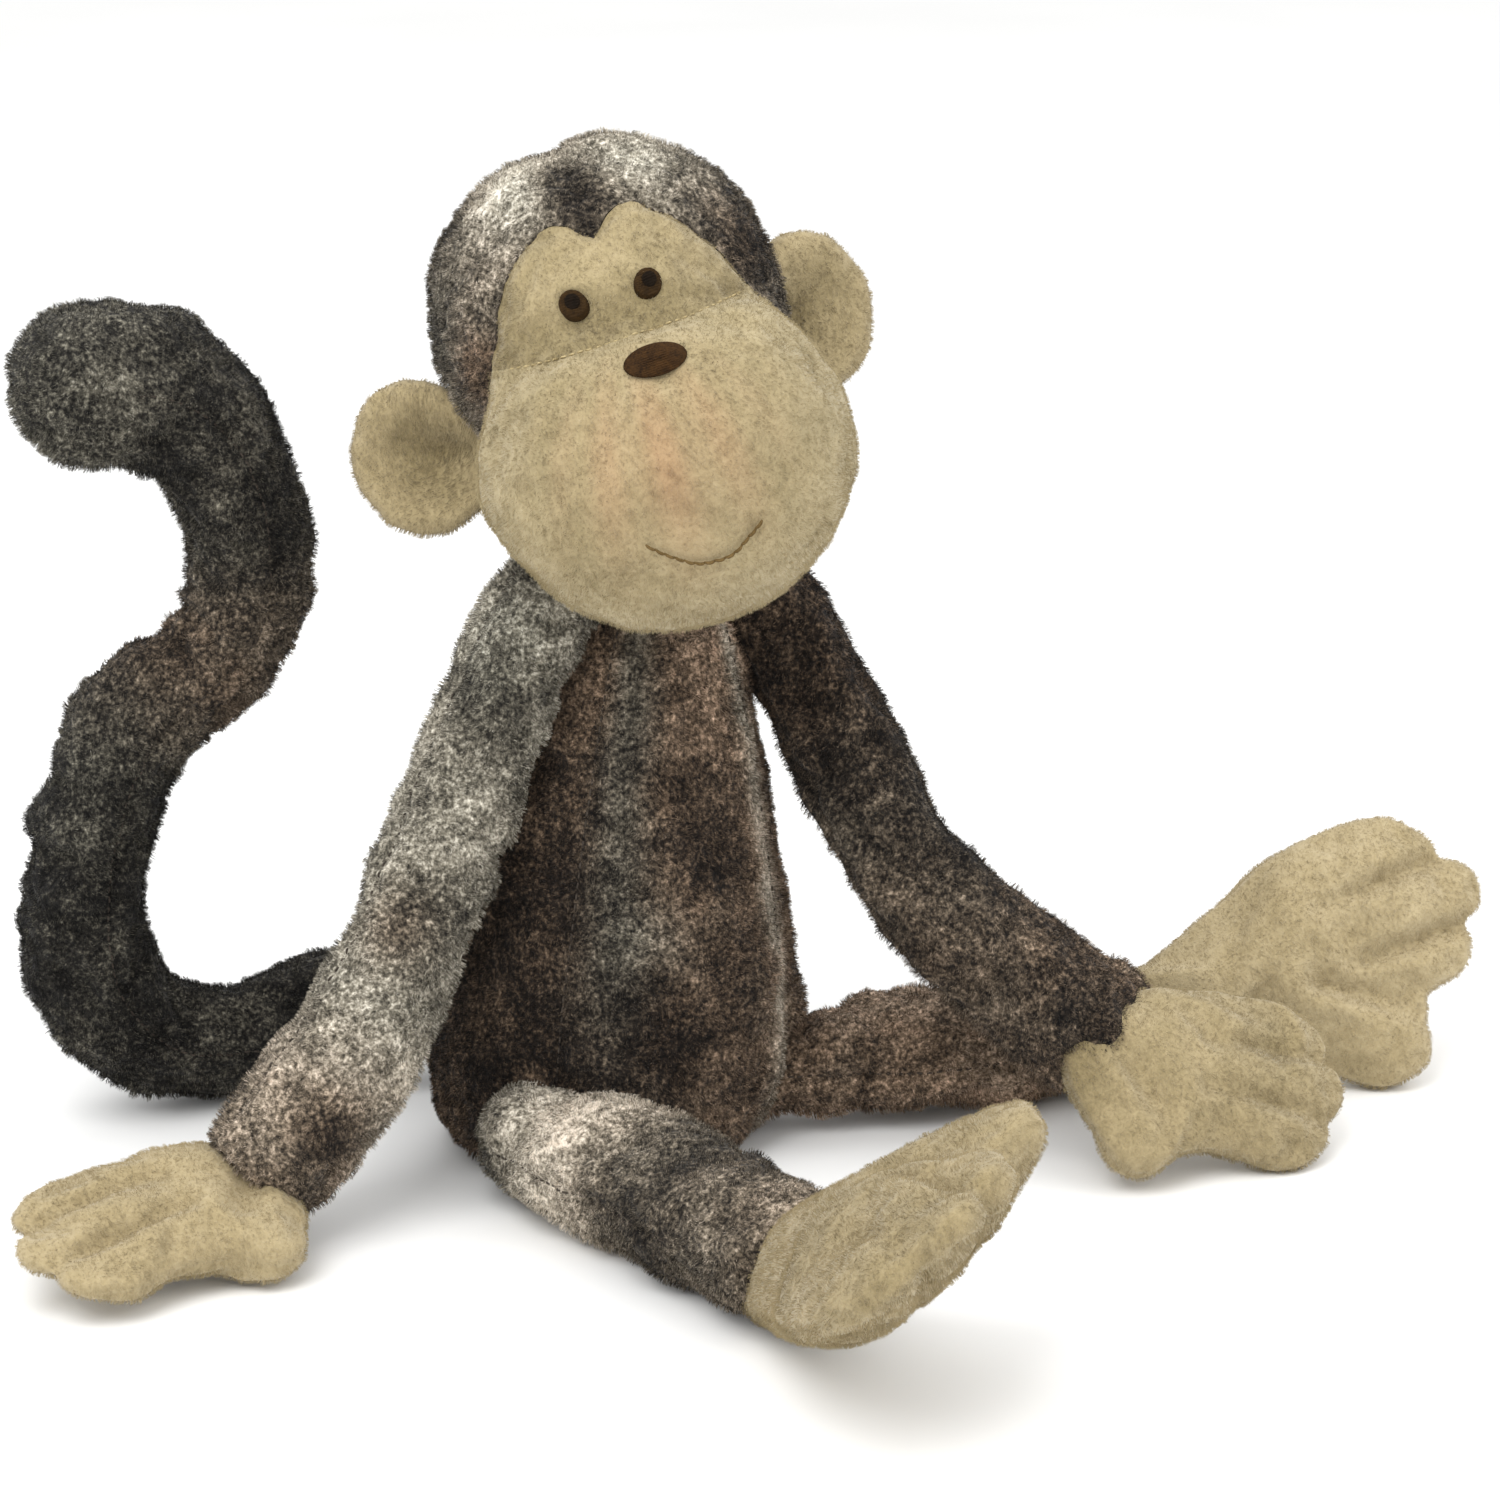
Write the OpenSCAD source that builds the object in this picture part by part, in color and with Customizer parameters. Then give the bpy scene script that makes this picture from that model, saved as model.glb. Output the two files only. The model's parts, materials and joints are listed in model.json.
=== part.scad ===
// Long-limbed plush monkey, seated, with sewn limbs that swing at their seams.
// Millimetres. +Z is up, the monkey faces -Y, its right hand is on -X.
// The origin is the middle of the flat seat, on the surface that it sits on.

/* [Fabric] */
// Thickness of the plush panels
skin_t = 1.2; // [0.8:0.1:1.6]
// Gap between a panel and the stuffing behind it
lining_gap = 0.1; // [0.05:0.05:0.2]
// Gap left along a seam between two panels
seam_gap = 0.3; // [0.2:0.1:0.5]

/* [Torso] */
// Half width of the seat disc
seat_half_w = 33; // [31:1:35]
// Half depth of the seat disc
seat_half_d = 29; // [27:1:31]
// Half width of the belly at its widest
belly_half_w = 46.5; // [44:0.5:47]
// Half depth of the belly at its deepest
belly_half_d = 40.5; // [38:0.5:41]

/* [Head] */
// Half width of the skull
skull_half_w = 43; // [41:0.5:44]
// Half width of the muzzle
muzzle_half_w = 45.5; // [43:0.5:47]
// Height of each ear
ear_size = 38; // [34:1:40]
// Tilt of the head towards the right shoulder
head_tilt = 16.5; // [12:0.5:18]
// Turn of the head towards the right shoulder
head_turn = 18; // [14:1:22]
// How far the face looks up
head_up = 8; // [4:1:10]

/* [Limbs] */
// Radius of an arm near the shoulder
arm_r = 13; // [12:0.5:13.5]
// Half width of a leg
leg_half_w = 19.5; // [17:0.5:20]
// Half height of a leg
leg_half_h = 15.5; // [14.5:0.5:15.5]
// Half thickness of a hand
hand_half_t = 11.5; // [9:0.5:12]
// Half thickness of a foot
foot_half_t = 15; // [12:0.5:15.5]

/* [Tail] */
// Radius of the middle of the tail
tail_r = 16; // [14:0.5:16.5]
// Radius of the stiffening wire
wire_r = 1.4; // [1:0.1:1.6]

/* [Hidden] */

fur = "dimgray";
dark_fur = "darkslategray";
cream = "wheat";
filling = "whitesmoke";
thread = "saddlebrown";

// ---------------------------------------------------------------- functions

function unit(v) = v / norm(v);
function flat(rows) = [for (row = rows) each row];

// A curve through every row of numbers, in n equal steps
function between(a, b, c, d, t) =
    0.5 * (2 * b + (c - a) * t + (2 * a - 5 * b + 4 * c - d) * t * t
        + (3 * b - a - 3 * c + d) * t * t * t);
function smooth(rows, n) =
    let (last = len(rows) - 1)
    [for (i = [0 : n])
        let (s = i * last / n, k = min(floor(s), last - 1))
        between(rows[max(k - 1, 0)], rows[k], rows[k + 1], rows[min(k + 2, last)], s - k)];

// The same round a closed outline
function smooth_loop(rows, n) =
    let (m = len(rows))
    [for (i = [0 : n - 1])
        let (s = i * m / n, k = floor(s))
        between(rows[(k + m - 1) % m], rows[k % m], rows[(k + 1) % m], rows[(k + 2) % m], s - k)];

// Stations of a limb are [x, y, z, half width, half height]
function place(st) = [st[0], st[1], st[2]];
function heading(rows, i) =
    unit(place(rows[min(i + 1, len(rows) - 1)]) - place(rows[max(i - 1, 0)]));

// One ring of a limb, from angle a0 to a1, drawn in by inset
function ring(st, t, upright, inset, a0, a1, n) =
    let (s = unit(cross(t, upright)), h = cross(s, t))
    [for (j = [0 : n])
        let (a = a0 + (a1 - a0) * j / n)
        place(st) + s * (st[3] - inset) * cos(a) + h * (st[4] - inset) * sin(a)];

// Rings that close a limb's end with a round dome
DOME_STEPS = [18, 42, 68];
function dome_rows(rows, at_start) =
    let (st = at_start ? rows[0] : rows[len(rows) - 1],
         t = heading(rows, at_start ? 0 : len(rows) - 1) * (at_start ? -1 : 1),
         reach = min(st[3], st[4]),
         steps = at_start ? DOME_STEPS : [for (k = [2 : -1 : 0]) DOME_STEPS[k]])
    [for (a = steps)
        let (c = place(st) + t * reach * cos(a))
        [c[0], c[1], c[2], st[3] * sin(a), st[4] * sin(a)]];
function capped(rows, start, end) =
    concat(start ? dome_rows(rows, true) : [], rows, end ? dome_rows(rows, false) : []);

// ---------------------------------------------------------------- solids

// Closed solid between two grids of the same size, as a sewn panel is
module panel(outer, inner) {
    m = len(outer);
    n = len(outer[0]);
    base = m * n;
    polyhedron(
        points = concat(flat(outer), flat(inner)),
        faces = concat(
            [for (i = [0 : m - 2], j = [0 : n - 2])
                each [[i * n + j, i * n + j + 1, (i + 1) * n + j + 1],
                      [i * n + j, (i + 1) * n + j + 1, (i + 1) * n + j]]],
            [for (i = [0 : m - 2], j = [0 : n - 2])
                each [[base + i * n + j, base + (i + 1) * n + j + 1, base + i * n + j + 1],
                      [base + i * n + j, base + (i + 1) * n + j, base + (i + 1) * n + j + 1]]],
            [for (i = [0 : m - 2])
                each [[i * n, (i + 1) * n, base + (i + 1) * n],
                      [i * n, base + (i + 1) * n, base + i * n],
                      [(i + 1) * n - 1, base + (i + 2) * n - 1, (i + 2) * n - 1],
                      [(i + 1) * n - 1, base + (i + 1) * n - 1, base + (i + 2) * n - 1]]],
            [for (j = [0 : n - 2])
                each [[j, base + j + 1, j + 1],
                      [j, base + j, base + j + 1],
                      [(m - 1) * n + j, (m - 1) * n + j + 1, base + (m - 1) * n + j + 1],
                      [(m - 1) * n + j, base + (m - 1) * n + j + 1, base + (m - 1) * n + j]]]
        ));
}

// Closed solid of whole rings, with a flat fan on each end
module stuffed(rings) {
    m = len(rings);
    n = len(rings[0]);
    polyhedron(
        points = flat(rings),
        faces = concat(
            [for (i = [0 : m - 2], j = [0 : n - 1])
                each [[i * n + j, i * n + (j + 1) % n, (i + 1) * n + (j + 1) % n],
                      [i * n + j, (i + 1) * n + (j + 1) % n, (i + 1) * n + j]]],
            [for (j = [1 : n - 2]) [0, j + 1, j]],
            [for (j = [1 : n - 2]) [(m - 1) * n, (m - 1) * n + j, (m - 1) * n + j + 1]]
        ));
}

// Closed solid between two sets of whole rings, such as a tube or a bag's wall
module tube(outer, inner) {
    m = len(outer);
    n = len(outer[0]);
    base = m * n;
    polyhedron(
        points = concat(flat(outer), flat(inner)),
        faces = concat(
            [for (i = [0 : m - 2], j = [0 : n - 1])
                each [[i * n + j, i * n + (j + 1) % n, (i + 1) * n + (j + 1) % n],
                      [i * n + j, (i + 1) * n + (j + 1) % n, (i + 1) * n + j]]],
            [for (i = [0 : m - 2], j = [0 : n - 1])
                each [[base + i * n + j, base + (i + 1) * n + (j + 1) % n, base + i * n + (j + 1) % n],
                      [base + i * n + j, base + (i + 1) * n + j, base + (i + 1) * n + (j + 1) % n]]],
            [for (j = [0 : n - 1])
                each [[j, base + (j + 1) % n, (j + 1) % n],
                      [j, base + j, base + (j + 1) % n],
                      [(m - 1) * n + j, (m - 1) * n + (j + 1) % n, base + (m - 1) * n + (j + 1) % n],
                      [(m - 1) * n + j, base + (m - 1) * n + (j + 1) % n, base + (m - 1) * n + j]]]
        ));
}

// Half of a limb's skin
module limb_skin(rows, upright, a0, a1, n) {
    cut = 2 * seam_gap;
    outer = [for (i = [0 : len(rows) - 1])
        ring(rows[i], heading(rows, i), upright, 0, a0 + cut, a1 - cut, n)];
    inner = [for (i = [0 : len(rows) - 1])
        ring(rows[i], heading(rows, i), upright, min(skin_t, 0.4 * rows[i][4]), a0 + cut, a1 - cut, n)];
    panel(outer, inner);
}

// What fills a limb, with a hole of radius bore along it if bore is over 0
module limb_filling(rows, upright, n, bore = 0) {
    inset = skin_t + lining_gap;
    rings = [for (i = [0 : len(rows) - 1])
        ring(rows[i], heading(rows, i), upright, min(inset, 0.4 * rows[i][4] + lining_gap),
            0, 360 - 360 / n, n - 1)];
    if (bore > 0) {
        tube(rings, [for (i = [0 : len(rows) - 1])
            ring([rows[i][0], rows[i][1], rows[i][2], bore, bore], heading(rows, i), upright, 0,
                0, 360 - 360 / n, n - 1)]);
    } else {
        stuffed(rings);
    }
}

// A pillow is an outline in the plane of its own u and v, with a crown along w.
// rise is its half thickness, inset draws it in all round, side is 1 or -1.
PILLOW_RINGS = [1, 0.86, 0.62, 0.3];
function drawn_in(outline, mid, inset) =
    [for (p = outline) let (d = p - mid) mid + d * (1 - inset / norm(d))];
function crown(outline, mid, inset, rise, taper, side) =
    let (edge = drawn_in(outline, mid, inset))
    [for (k = PILLOW_RINGS)
        [for (p = edge)
            let (q = mid + (p - mid) * k)
            [q[0], q[1], side * (rise - inset) * (1 - taper * q[0]) * sqrt(1 - k * k)]]];

// One face of a pillow as a sewn panel: its crown, the same crown inside it, and the seam edge
module pillow_panel(outline, mid, rise, taper, side) {
    n = len(outline);
    m = len(PILLOW_RINGS);
    outer = crown(outline, mid, 0, rise, taper, side);
    inner = crown(outline, mid, skin_t, rise, taper, side);
    outer_top = [mid[0], mid[1], side * rise * (1 - taper * mid[0])];
    inner_top = [mid[0], mid[1], side * (rise - skin_t) * (1 - taper * mid[0])];
    base = m * n + 1;
    function turned(f) = side > 0 ? f : [f[0], f[2], f[1]];
    translate([0, 0, side * lining_gap])
        polyhedron(
            points = concat(flat(outer), [outer_top], flat(inner), [inner_top]),
            faces = [for (f = concat(
                [for (i = [0 : m - 2], j = [0 : n - 1])
                    each [[i * n + j, (i + 1) * n + (j + 1) % n, i * n + (j + 1) % n],
                          [i * n + j, (i + 1) * n + j, (i + 1) * n + (j + 1) % n]]],
                [for (j = [0 : n - 1]) [(m - 1) * n + j, m * n, (m - 1) * n + (j + 1) % n]],
                [for (i = [0 : m - 2], j = [0 : n - 1])
                    each [[base + i * n + j, base + i * n + (j + 1) % n, base + (i + 1) * n + (j + 1) % n],
                          [base + i * n + j, base + (i + 1) * n + (j + 1) % n, base + (i + 1) * n + j]]],
                [for (j = [0 : n - 1])
                    [base + (m - 1) * n + j, base + (m - 1) * n + (j + 1) % n, base + m * n]],
                [for (j = [0 : n - 1])
                    each [[j, (j + 1) % n, base + (j + 1) % n],
                          [j, base + (j + 1) % n, base + j]]]
            )) turned(f)]);
}

// What fills a pillow
module pillow_filling(outline, mid, rise, taper) {
    n = len(outline);
    m = len(PILLOW_RINGS);
    inset = skin_t + 2 * lining_gap;
    up = crown(outline, mid, inset, rise, taper, 1);
    down = crown(outline, mid, inset, rise, taper, -1);
    height = (rise - inset) * (1 - taper * mid[0]);
    top = m * n;
    bottom = 2 * m * n - n + 1;
    function under(i, j) = i == 0 ? j : m * n + 1 + (i - 1) * n + j;
    polyhedron(
        points = concat(flat(up), [[mid[0], mid[1], height]],
            flat([for (i = [1 : m - 1]) down[i]]), [[mid[0], mid[1], -height]]),
        faces = concat(
            [for (i = [0 : m - 2], j = [0 : n - 1])
                each [[i * n + j, (i + 1) * n + (j + 1) % n, i * n + (j + 1) % n],
                      [i * n + j, (i + 1) * n + j, (i + 1) * n + (j + 1) % n]]],
            [for (j = [0 : n - 1]) [(m - 1) * n + j, top, (m - 1) * n + (j + 1) % n]],
            [for (i = [0 : m - 2], j = [0 : n - 1])
                each [[under(i, j), under(i, (j + 1) % n), under(i + 1, (j + 1) % n)],
                      [under(i, j), under(i + 1, (j + 1) % n), under(i + 1, j)]]],
            [for (j = [0 : n - 1]) [under(m - 1, j), under(m - 1, (j + 1) % n), bottom]]
        ));
}

// Puts children drawn in u, v, w at a point, with u along ahead and v near aside
module laid(at, ahead, aside) {
    u = unit(ahead);
    w = unit(cross(u, aside));
    v = cross(w, u);
    multmatrix([[u[0], v[0], w[0], at[0]],
                [u[1], v[1], w[1], at[1]],
                [u[2], v[2], w[2], at[2]],
                [0, 0, 0, 1]])
        children();
}

// ---------------------------------------------------------------- torso

// Height, half width and half depth of the torso, seat first
TORSO_ROWS = [
    [0.3, seat_half_w + 2, seat_half_d + 2],
    [5, belly_half_w - 5, belly_half_d - 4],
    [14, belly_half_w - 1, belly_half_d - 1],
    [32, belly_half_w, belly_half_d],
    [55, belly_half_w - 2.5, belly_half_d - 2.5],
    [80, belly_half_w - 8.5, belly_half_d - 7],
    [105, 32.5, 27.5],
    [120, 28, 24],
    [130, 22, 20.5],
    [139, 18, 17],
    [147, 13, 13]
];
TORSO_AROUND = 24;
TORSO_LEAN = [0.05, -0.055];
POUCH_TOP = 26;

function torso_point(row, a, inset) =
    [row[0] * TORSO_LEAN[0] + (row[1] - inset) * sin(a),
     row[0] * TORSO_LEAN[1] - (row[2] - inset) * cos(a),
     row[0]];
function torso_ring(row, inset) =
    [for (j = [0 : TORSO_AROUND - 1]) torso_point(row, -360 * j / TORSO_AROUND, inset)];

// Panel between two angles from the front, counted towards the monkey's left
module torso_panel(a0, a1) {
    n = round((a1 - a0) * TORSO_AROUND / 360);
    cut = seam_gap;
    function strip(inset) = [for (row = TORSO_ROWS)
        [for (j = [0 : n])
            torso_point(row, a1 - cut - (a1 - a0 - 2 * cut) * j / n, inset)]];
    panel(strip(0), strip(skin_t));
}

FRONT_EDGE = 45;
module torso_front() { color(fur) torso_panel(-FRONT_EDGE, FRONT_EDGE); }
module torso_back_left() { color(fur) torso_panel(FRONT_EDGE, 180); }
module torso_back_right() { color(dark_fur) torso_panel(180, 360 - FRONT_EDGE); }

// The seat is a flat disc with its edge turned up inside the side panels
module torso_seat() {
    color(dark_fur)
        linear_extrude(height = skin_t)
            polygon([for (a = [0 : 15 : 345]) [seat_half_w * sin(a), -seat_half_d * cos(a)]]);
}

// Ring of the filling, high enough to clear the seat or the pouch below it
function inner_row(z) =
    let (k = len([for (row = TORSO_ROWS) if (row[0] <= z) row]) - 1,
         low = TORSO_ROWS[k], high = TORSO_ROWS[k + 1],
         t = (z - low[0]) / (high[0] - low[0]))
    low + (high - low) * t;
module torso_stuffing() {
    inset = skin_t + lining_gap;
    color(filling)
        stuffed(concat([torso_ring(inner_row(POUCH_TOP), inset)],
            [for (row = TORSO_ROWS) if (row[0] > POUCH_TOP) torso_ring(row, inset)]));
}

// A bag of pellets weights the seat
POUCH_HEIGHTS = [2, 5, 14, 25];
module bean_pouch() {
    color("gainsboro")
        difference() {
            stuffed([for (z = POUCH_HEIGHTS) torso_ring(inner_row(z), 2.5)]);
            stuffed([for (z = [3, 6, 14, 24]) torso_ring(inner_row(z), 3.5)]);
        }
}
module bean_fill() {
    color("lightsteelblue")
        stuffed([for (z = [3.2, 6.2, 14, 23.8]) torso_ring(inner_row(z), 3.8)]);
}

// ---------------------------------------------------------------- head

HEAD_MIDDLE = [-4, -10, 217.5];
HEAD_TURNS = [-head_up, -head_tilt, -head_turn];
NECK_PIVOT = [7, -8, 156];

// Turns a world direction into the head's own
function to_head(v) =
    let (c = -HEAD_TURNS[2], t = -HEAD_TURNS[1], u = -HEAD_TURNS[0],
         a = [v[0] * cos(c) - v[1] * sin(c), v[0] * sin(c) + v[1] * cos(c), v[2]],
         b = [a[0] * cos(t) + a[2] * sin(t), a[1], -a[0] * sin(t) + a[2] * cos(t)])
    [b[0], b[1] * cos(u) - b[2] * sin(u), b[1] * sin(u) + b[2] * cos(u)];

// The head is measured by rays from a point between the skull and the muzzle
RAY_START = [0, -10, -16];
SKULL = [[0, 0, 0], [skull_half_w, 42, 44]];
MUZZLE = [[0, -25, -35.5], [muzzle_half_w, 41, 41.5]];
UNDERSIDE = to_head(unit([0, 0.5, -0.865]));
UNDERSIDE_REACH = 37;

// How far a ray goes before it leaves an ellipsoid that holds its start
function leaves(ray, ball) =
    let (o = [for (k = [0 : 2]) (RAY_START[k] - ball[0][k]) / ball[1][k]],
         d = [for (k = [0 : 2]) ray[k] / ball[1][k]],
         a = d * d, b = o * d, c = o * o - 1)
    (-b + sqrt(b * b - a * c)) / a;
function head_reach(ray) =
    let (both = pow(pow(leaves(ray, SKULL), 9) + pow(leaves(ray, MUZZLE), 9), 1 / 9) * 0.985,
         down = ray * UNDERSIDE)
    down > 0.05 ? pow(pow(both, -12) + pow(UNDERSIDE_REACH / down, -12), -1 / 12) : both;
function ray_at(lon, lat) = [sin(lon) * cos(lat), -cos(lon) * cos(lat), sin(lat)];
function head_point(lon, lat, inset) =
    let (ray = ray_at(lon, lat))
    RAY_START + ray * (head_reach(ray) - inset);

// Longitude of the edge of the face and muzzle at each latitude
CHIN_LAT = -62;
SEAM_LAT = 21;
FACE_TOP_LAT = 62;
CAP_TOP_LAT = 87;
CHEEK_LON = 82;
FACE_EDGE = [[CHIN_LAT, CHEEK_LON], [8, CHEEK_LON], [SEAM_LAT, 66], [35, 57], [44, 47], [52, 36],
    [FACE_TOP_LAT, 4], [90, 0]];
function edge_lon(lat) = lookup(lat, FACE_EDGE);

// Grid over the head from latitude lat0 to lat1, and between two fractions of the way
// from the middle of the face to the middle of the back
function head_grid(lats, side, front, inset, n) =
    [for (lat = lats)
        let (edge = edge_lon(lat) + (front ? -seam_gap : seam_gap),
             from = front ? -edge : (side > 0 ? edge : 180 + seam_gap),
             to = front ? edge : (side > 0 ? 180 - seam_gap : 360 - edge))
        [for (j = [0 : n]) head_point(to + (from - to) * j / n, lat, inset)]];
module head_panel(lats, side, front, n) {
    panel(head_grid(lats, side, front, 0, n), head_grid(lats, side, front, skin_t, n));
}
module on_head() {
    translate(HEAD_MIDDLE) rotate(HEAD_TURNS) children();
}

CAP_LATS = [CHIN_LAT, -50, -38, -26, -14, -2, 8, SEAM_LAT, 28, 35, 44, 52, FACE_TOP_LAT, 75, CAP_TOP_LAT];
FACE_LATS = [SEAM_LAT + seam_gap, 28, 35, 44, 52, FACE_TOP_LAT - seam_gap];
MUZZLE_LATS = [CHIN_LAT, -50, -38, -26, -14, -2, 8, SEAM_LAT - seam_gap];
module head_cap_left() { color(fur) on_head() head_panel(CAP_LATS, 1, false, 9); }
module head_cap_right() { color(fur) on_head() head_panel(CAP_LATS, -1, false, 9); }
module face_panel() { color(cream) on_head() head_panel(FACE_LATS, 0, true, 8); }
module muzzle_panel() { color(cream) on_head() head_panel(MUZZLE_LATS, 0, true, 12); }
module head_stuffing() {
    inset = skin_t + lining_gap;
    color(filling)
        on_head()
            stuffed([for (lat = [-82, -68, -54, -40, -26, -12, 2, 16, 30, 44, 58, 72, 84])
                [for (j = [0 : 19]) head_point(-18 * j, lat, inset + 1.2)]]);
}

// Stitched eyes and nose stand on the face and go through it
module on_face(lon, lat, lift) {
    ray = ray_at(lon, lat);
    here = head_point(lon, lat, 0);
    east = head_point(lon + 2, lat, 0) - here;
    north = head_point(lon, lat + 2, 0) - here;
    on_head() laid(here + ray * lift, east, north) children();
}
EYE_R = 3.8;
EYE_LON = 16;
EYE_LAT = 35;
module eye() {
    rotate_extrude($fn = 24)
        polygon([[0, -1.6], [EYE_R, -1.6], [EYE_R, -0.1], [2.8, 0.7], [1.5, 1.1], [0, 1.2]]);
}
module eye_left() { color("black") on_face(EYE_LON - 2, EYE_LAT, 0.3) eye(); }
module eye_right() { color("black") on_face(-EYE_LON - 2, EYE_LAT, 0.3) eye(); }

NOSE_HALF = [8, 4.8];
NOSE_LAT = 6;
module nose() {
    color(thread)
        on_face(0, NOSE_LAT, -0.6)
            linear_extrude(height = 2)
                polygon([for (a = [0 : 15 : 345])
                    [NOSE_HALF[0] * cos(a), NOSE_HALF[1] * sin(a) * (1 + 0.15 * cos(a) * cos(a))]]);
}

// The smile is a thread that runs just outside the muzzle
SMILE_HALF_LON = 19;
SMILE_LAT = -33;
SMILE_SAG = 8;
module mouth_stitch() {
    n = 10;
    thread_r = 0.5;
    path = [for (i = [0 : n])
        let (s = 2 * i / n - 1, ray = ray_at(s * SMILE_HALF_LON, SMILE_LAT - SMILE_SAG * (1 - s * s)))
        RAY_START + ray * (head_reach(ray) + 0.3)];
    rows = [for (p = path) [p[0], p[1], p[2], thread_r, thread_r]];
    color(thread)
        on_head()
            stuffed([for (i = [0 : n])
                ring(rows[i], heading(rows, i), [0, 1, 0], 0, 0, 300, 5)]);
}

// Ears are thin pillows, set out from the sides of the head
EAR_HALF_T = 5.5;
EAR_OUTLINE = smooth_loop([
    [0, -9], [6, -15], [18, -18.5], [29, -13], [34, 0], [29, 13], [18, 18.5], [6, 15], [0, 9]], 22)
    * (ear_size / 38);
EAR_MIDDLE = [17, 0];
module ear_at(side) {
    on_head()
        laid([side * 42, 4, -21], [side, 0.45, 0.1], [0, 0, side])
            children();
}
module ear_left_front() { color(cream) ear_at(1) pillow_panel(EAR_OUTLINE, EAR_MIDDLE, EAR_HALF_T, 0, -1); }
module ear_left_back() { color(cream) ear_at(1) pillow_panel(EAR_OUTLINE, EAR_MIDDLE, EAR_HALF_T, 0, 1); }
module ear_right_front() { color(cream) ear_at(-1) pillow_panel(EAR_OUTLINE, EAR_MIDDLE, EAR_HALF_T, 0, -1); }
module ear_right_back() { color(cream) ear_at(-1) pillow_panel(EAR_OUTLINE, EAR_MIDDLE, EAR_HALF_T, 0, 1); }

// ---------------------------------------------------------------- neck

module neck_stuffing() {
    color(filling)
        stuffed([for (row = [[-8, 7], [-6, 10], [0, 11.5], [5, 10], [7.5, 6]])
            [for (a = [330 : -30 : 0])
                NECK_PIVOT + [row[1] * sin(a), -row[1] * cos(a), row[0]]]]);
}

// ---------------------------------------------------------------- arms

// Stations from the shoulder's hinge to the end of the sleeve
ARM_LEFT = smooth([
    [42, -10, 138, arm_r, arm_r], [47.5, -26, 117, 14.5, 14.5], [52.5, -41, 94, 14.5, 14.5],
    [60, -54, 73, 15, 14.5], [76, -66, 54, 16.5, 15], [91, -73, 39.5, 18, 15.5]], 8);
ARM_RIGHT = smooth([
    [-28, -9, 138, arm_r, arm_r], [-42, -12, 112, 14, 14], [-57, -15, 84, 14.5, 14],
    [-70, -18, 62, 15.5, 14.5], [-84, -21, 43, 17, 15], [-102, -24.3, 26, 18, 15.5]], 8);
ARM_UPRIGHT = [0, 1, 0];
ARM_AROUND = 12;
module arm_skin(rows, a0) {
    limb_skin(capped(rows, true, false), ARM_UPRIGHT, a0, a0 + 180, ARM_AROUND / 2);
}
module arm_filling(rows) {
    limb_filling(capped(rows, true, false), ARM_UPRIGHT, ARM_AROUND);
}
module arm_left_front() { color(fur) arm_skin(ARM_LEFT, 180); }
module arm_left_back() { color(dark_fur) arm_skin(ARM_LEFT, 0); }
module arm_left_stuffing() { color(filling) arm_filling(ARM_LEFT); }
module arm_right_front() { color(fur) arm_skin(ARM_RIGHT, 180); }
module arm_right_back() { color(dark_fur) arm_skin(ARM_RIGHT, 0); }
module arm_right_stuffing() { color(filling) arm_filling(ARM_RIGHT); }

// ---------------------------------------------------------------- hands

// Outline from the wrist's hinge at 0, 0 with fingers along u and the thumb on +v
HAND_OUTLINE = smooth_loop([
    [-9, -11], [6, -17], [24, -21], [44, -22], [59, -17], [67, -7], [68, 6], [63, 18],
    [52, 24], [36, 22], [22, 24], [14, 31], [4, 30], [-3, 21], [-9, 11], [-13, 0]], 30);
HAND_MIDDLE = [26, 0];
HAND_TAPER = 0.006;
HAND_LEFT = [[99, -83, 31], [90, -28, -22], [-37, -54, -76]];
HAND_RIGHT = [[-110, -23, 15.5], [-98, -15, -4], [18, -94, -28]];
module hand_panel(hand, side) {
    laid(hand[0], hand[1], hand[2])
        pillow_panel(HAND_OUTLINE, HAND_MIDDLE, hand_half_t, HAND_TAPER, side);
}
module hand_filling(hand) {
    laid(hand[0], hand[1], hand[2])
        pillow_filling(HAND_OUTLINE, HAND_MIDDLE, hand_half_t, HAND_TAPER);
}
module hand_left_back() { color(cream) hand_panel(HAND_LEFT, -1); }
module hand_left_palm() { color(cream) hand_panel(HAND_LEFT, 1); }
module hand_left_stuffing() { color(filling) hand_filling(HAND_LEFT); }
module hand_right_back() { color(cream) hand_panel(HAND_RIGHT, 1); }
module hand_right_palm() { color(cream) hand_panel(HAND_RIGHT, -1); }
module hand_right_stuffing() { color(filling) hand_filling(HAND_RIGHT); }

// ---------------------------------------------------------------- legs

// Stations from the pinched hip to the ankle
LEG_LEFT = smooth([
    [51.5, -22, 17, 9, 11], [61.5, -24, 17, 14, 13.5], [78, -27.5, 17, leg_half_w, leg_half_h],
    [98, -31, 17, leg_half_w, leg_half_h], [128, -35, 18.5, leg_half_w - 1, leg_half_h]], 7);
LEG_RIGHT = smooth([
    [-27, -44, 17, 9, 11], [-27, -54, 17, 14, 13.5], [-26, -70, 17, leg_half_w, leg_half_h],
    [-24, -94, 17, leg_half_w, leg_half_h], [-22, -121, 18, leg_half_w - 1, leg_half_h]], 7);
LEG_UPRIGHT = [0, 0, 1];
LEG_AROUND = 12;
module leg_skin(rows, a0) {
    limb_skin(capped(rows, true, false), LEG_UPRIGHT, a0, a0 + 180, LEG_AROUND / 2);
}
module leg_filling(rows) {
    limb_filling(capped(rows, true, false), LEG_UPRIGHT, LEG_AROUND);
}
module leg_left_top() { color(fur) leg_skin(LEG_LEFT, 0); }
module leg_left_under() { color(dark_fur) leg_skin(LEG_LEFT, 180); }
module leg_left_stuffing() { color(filling) leg_filling(LEG_LEFT); }
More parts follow.
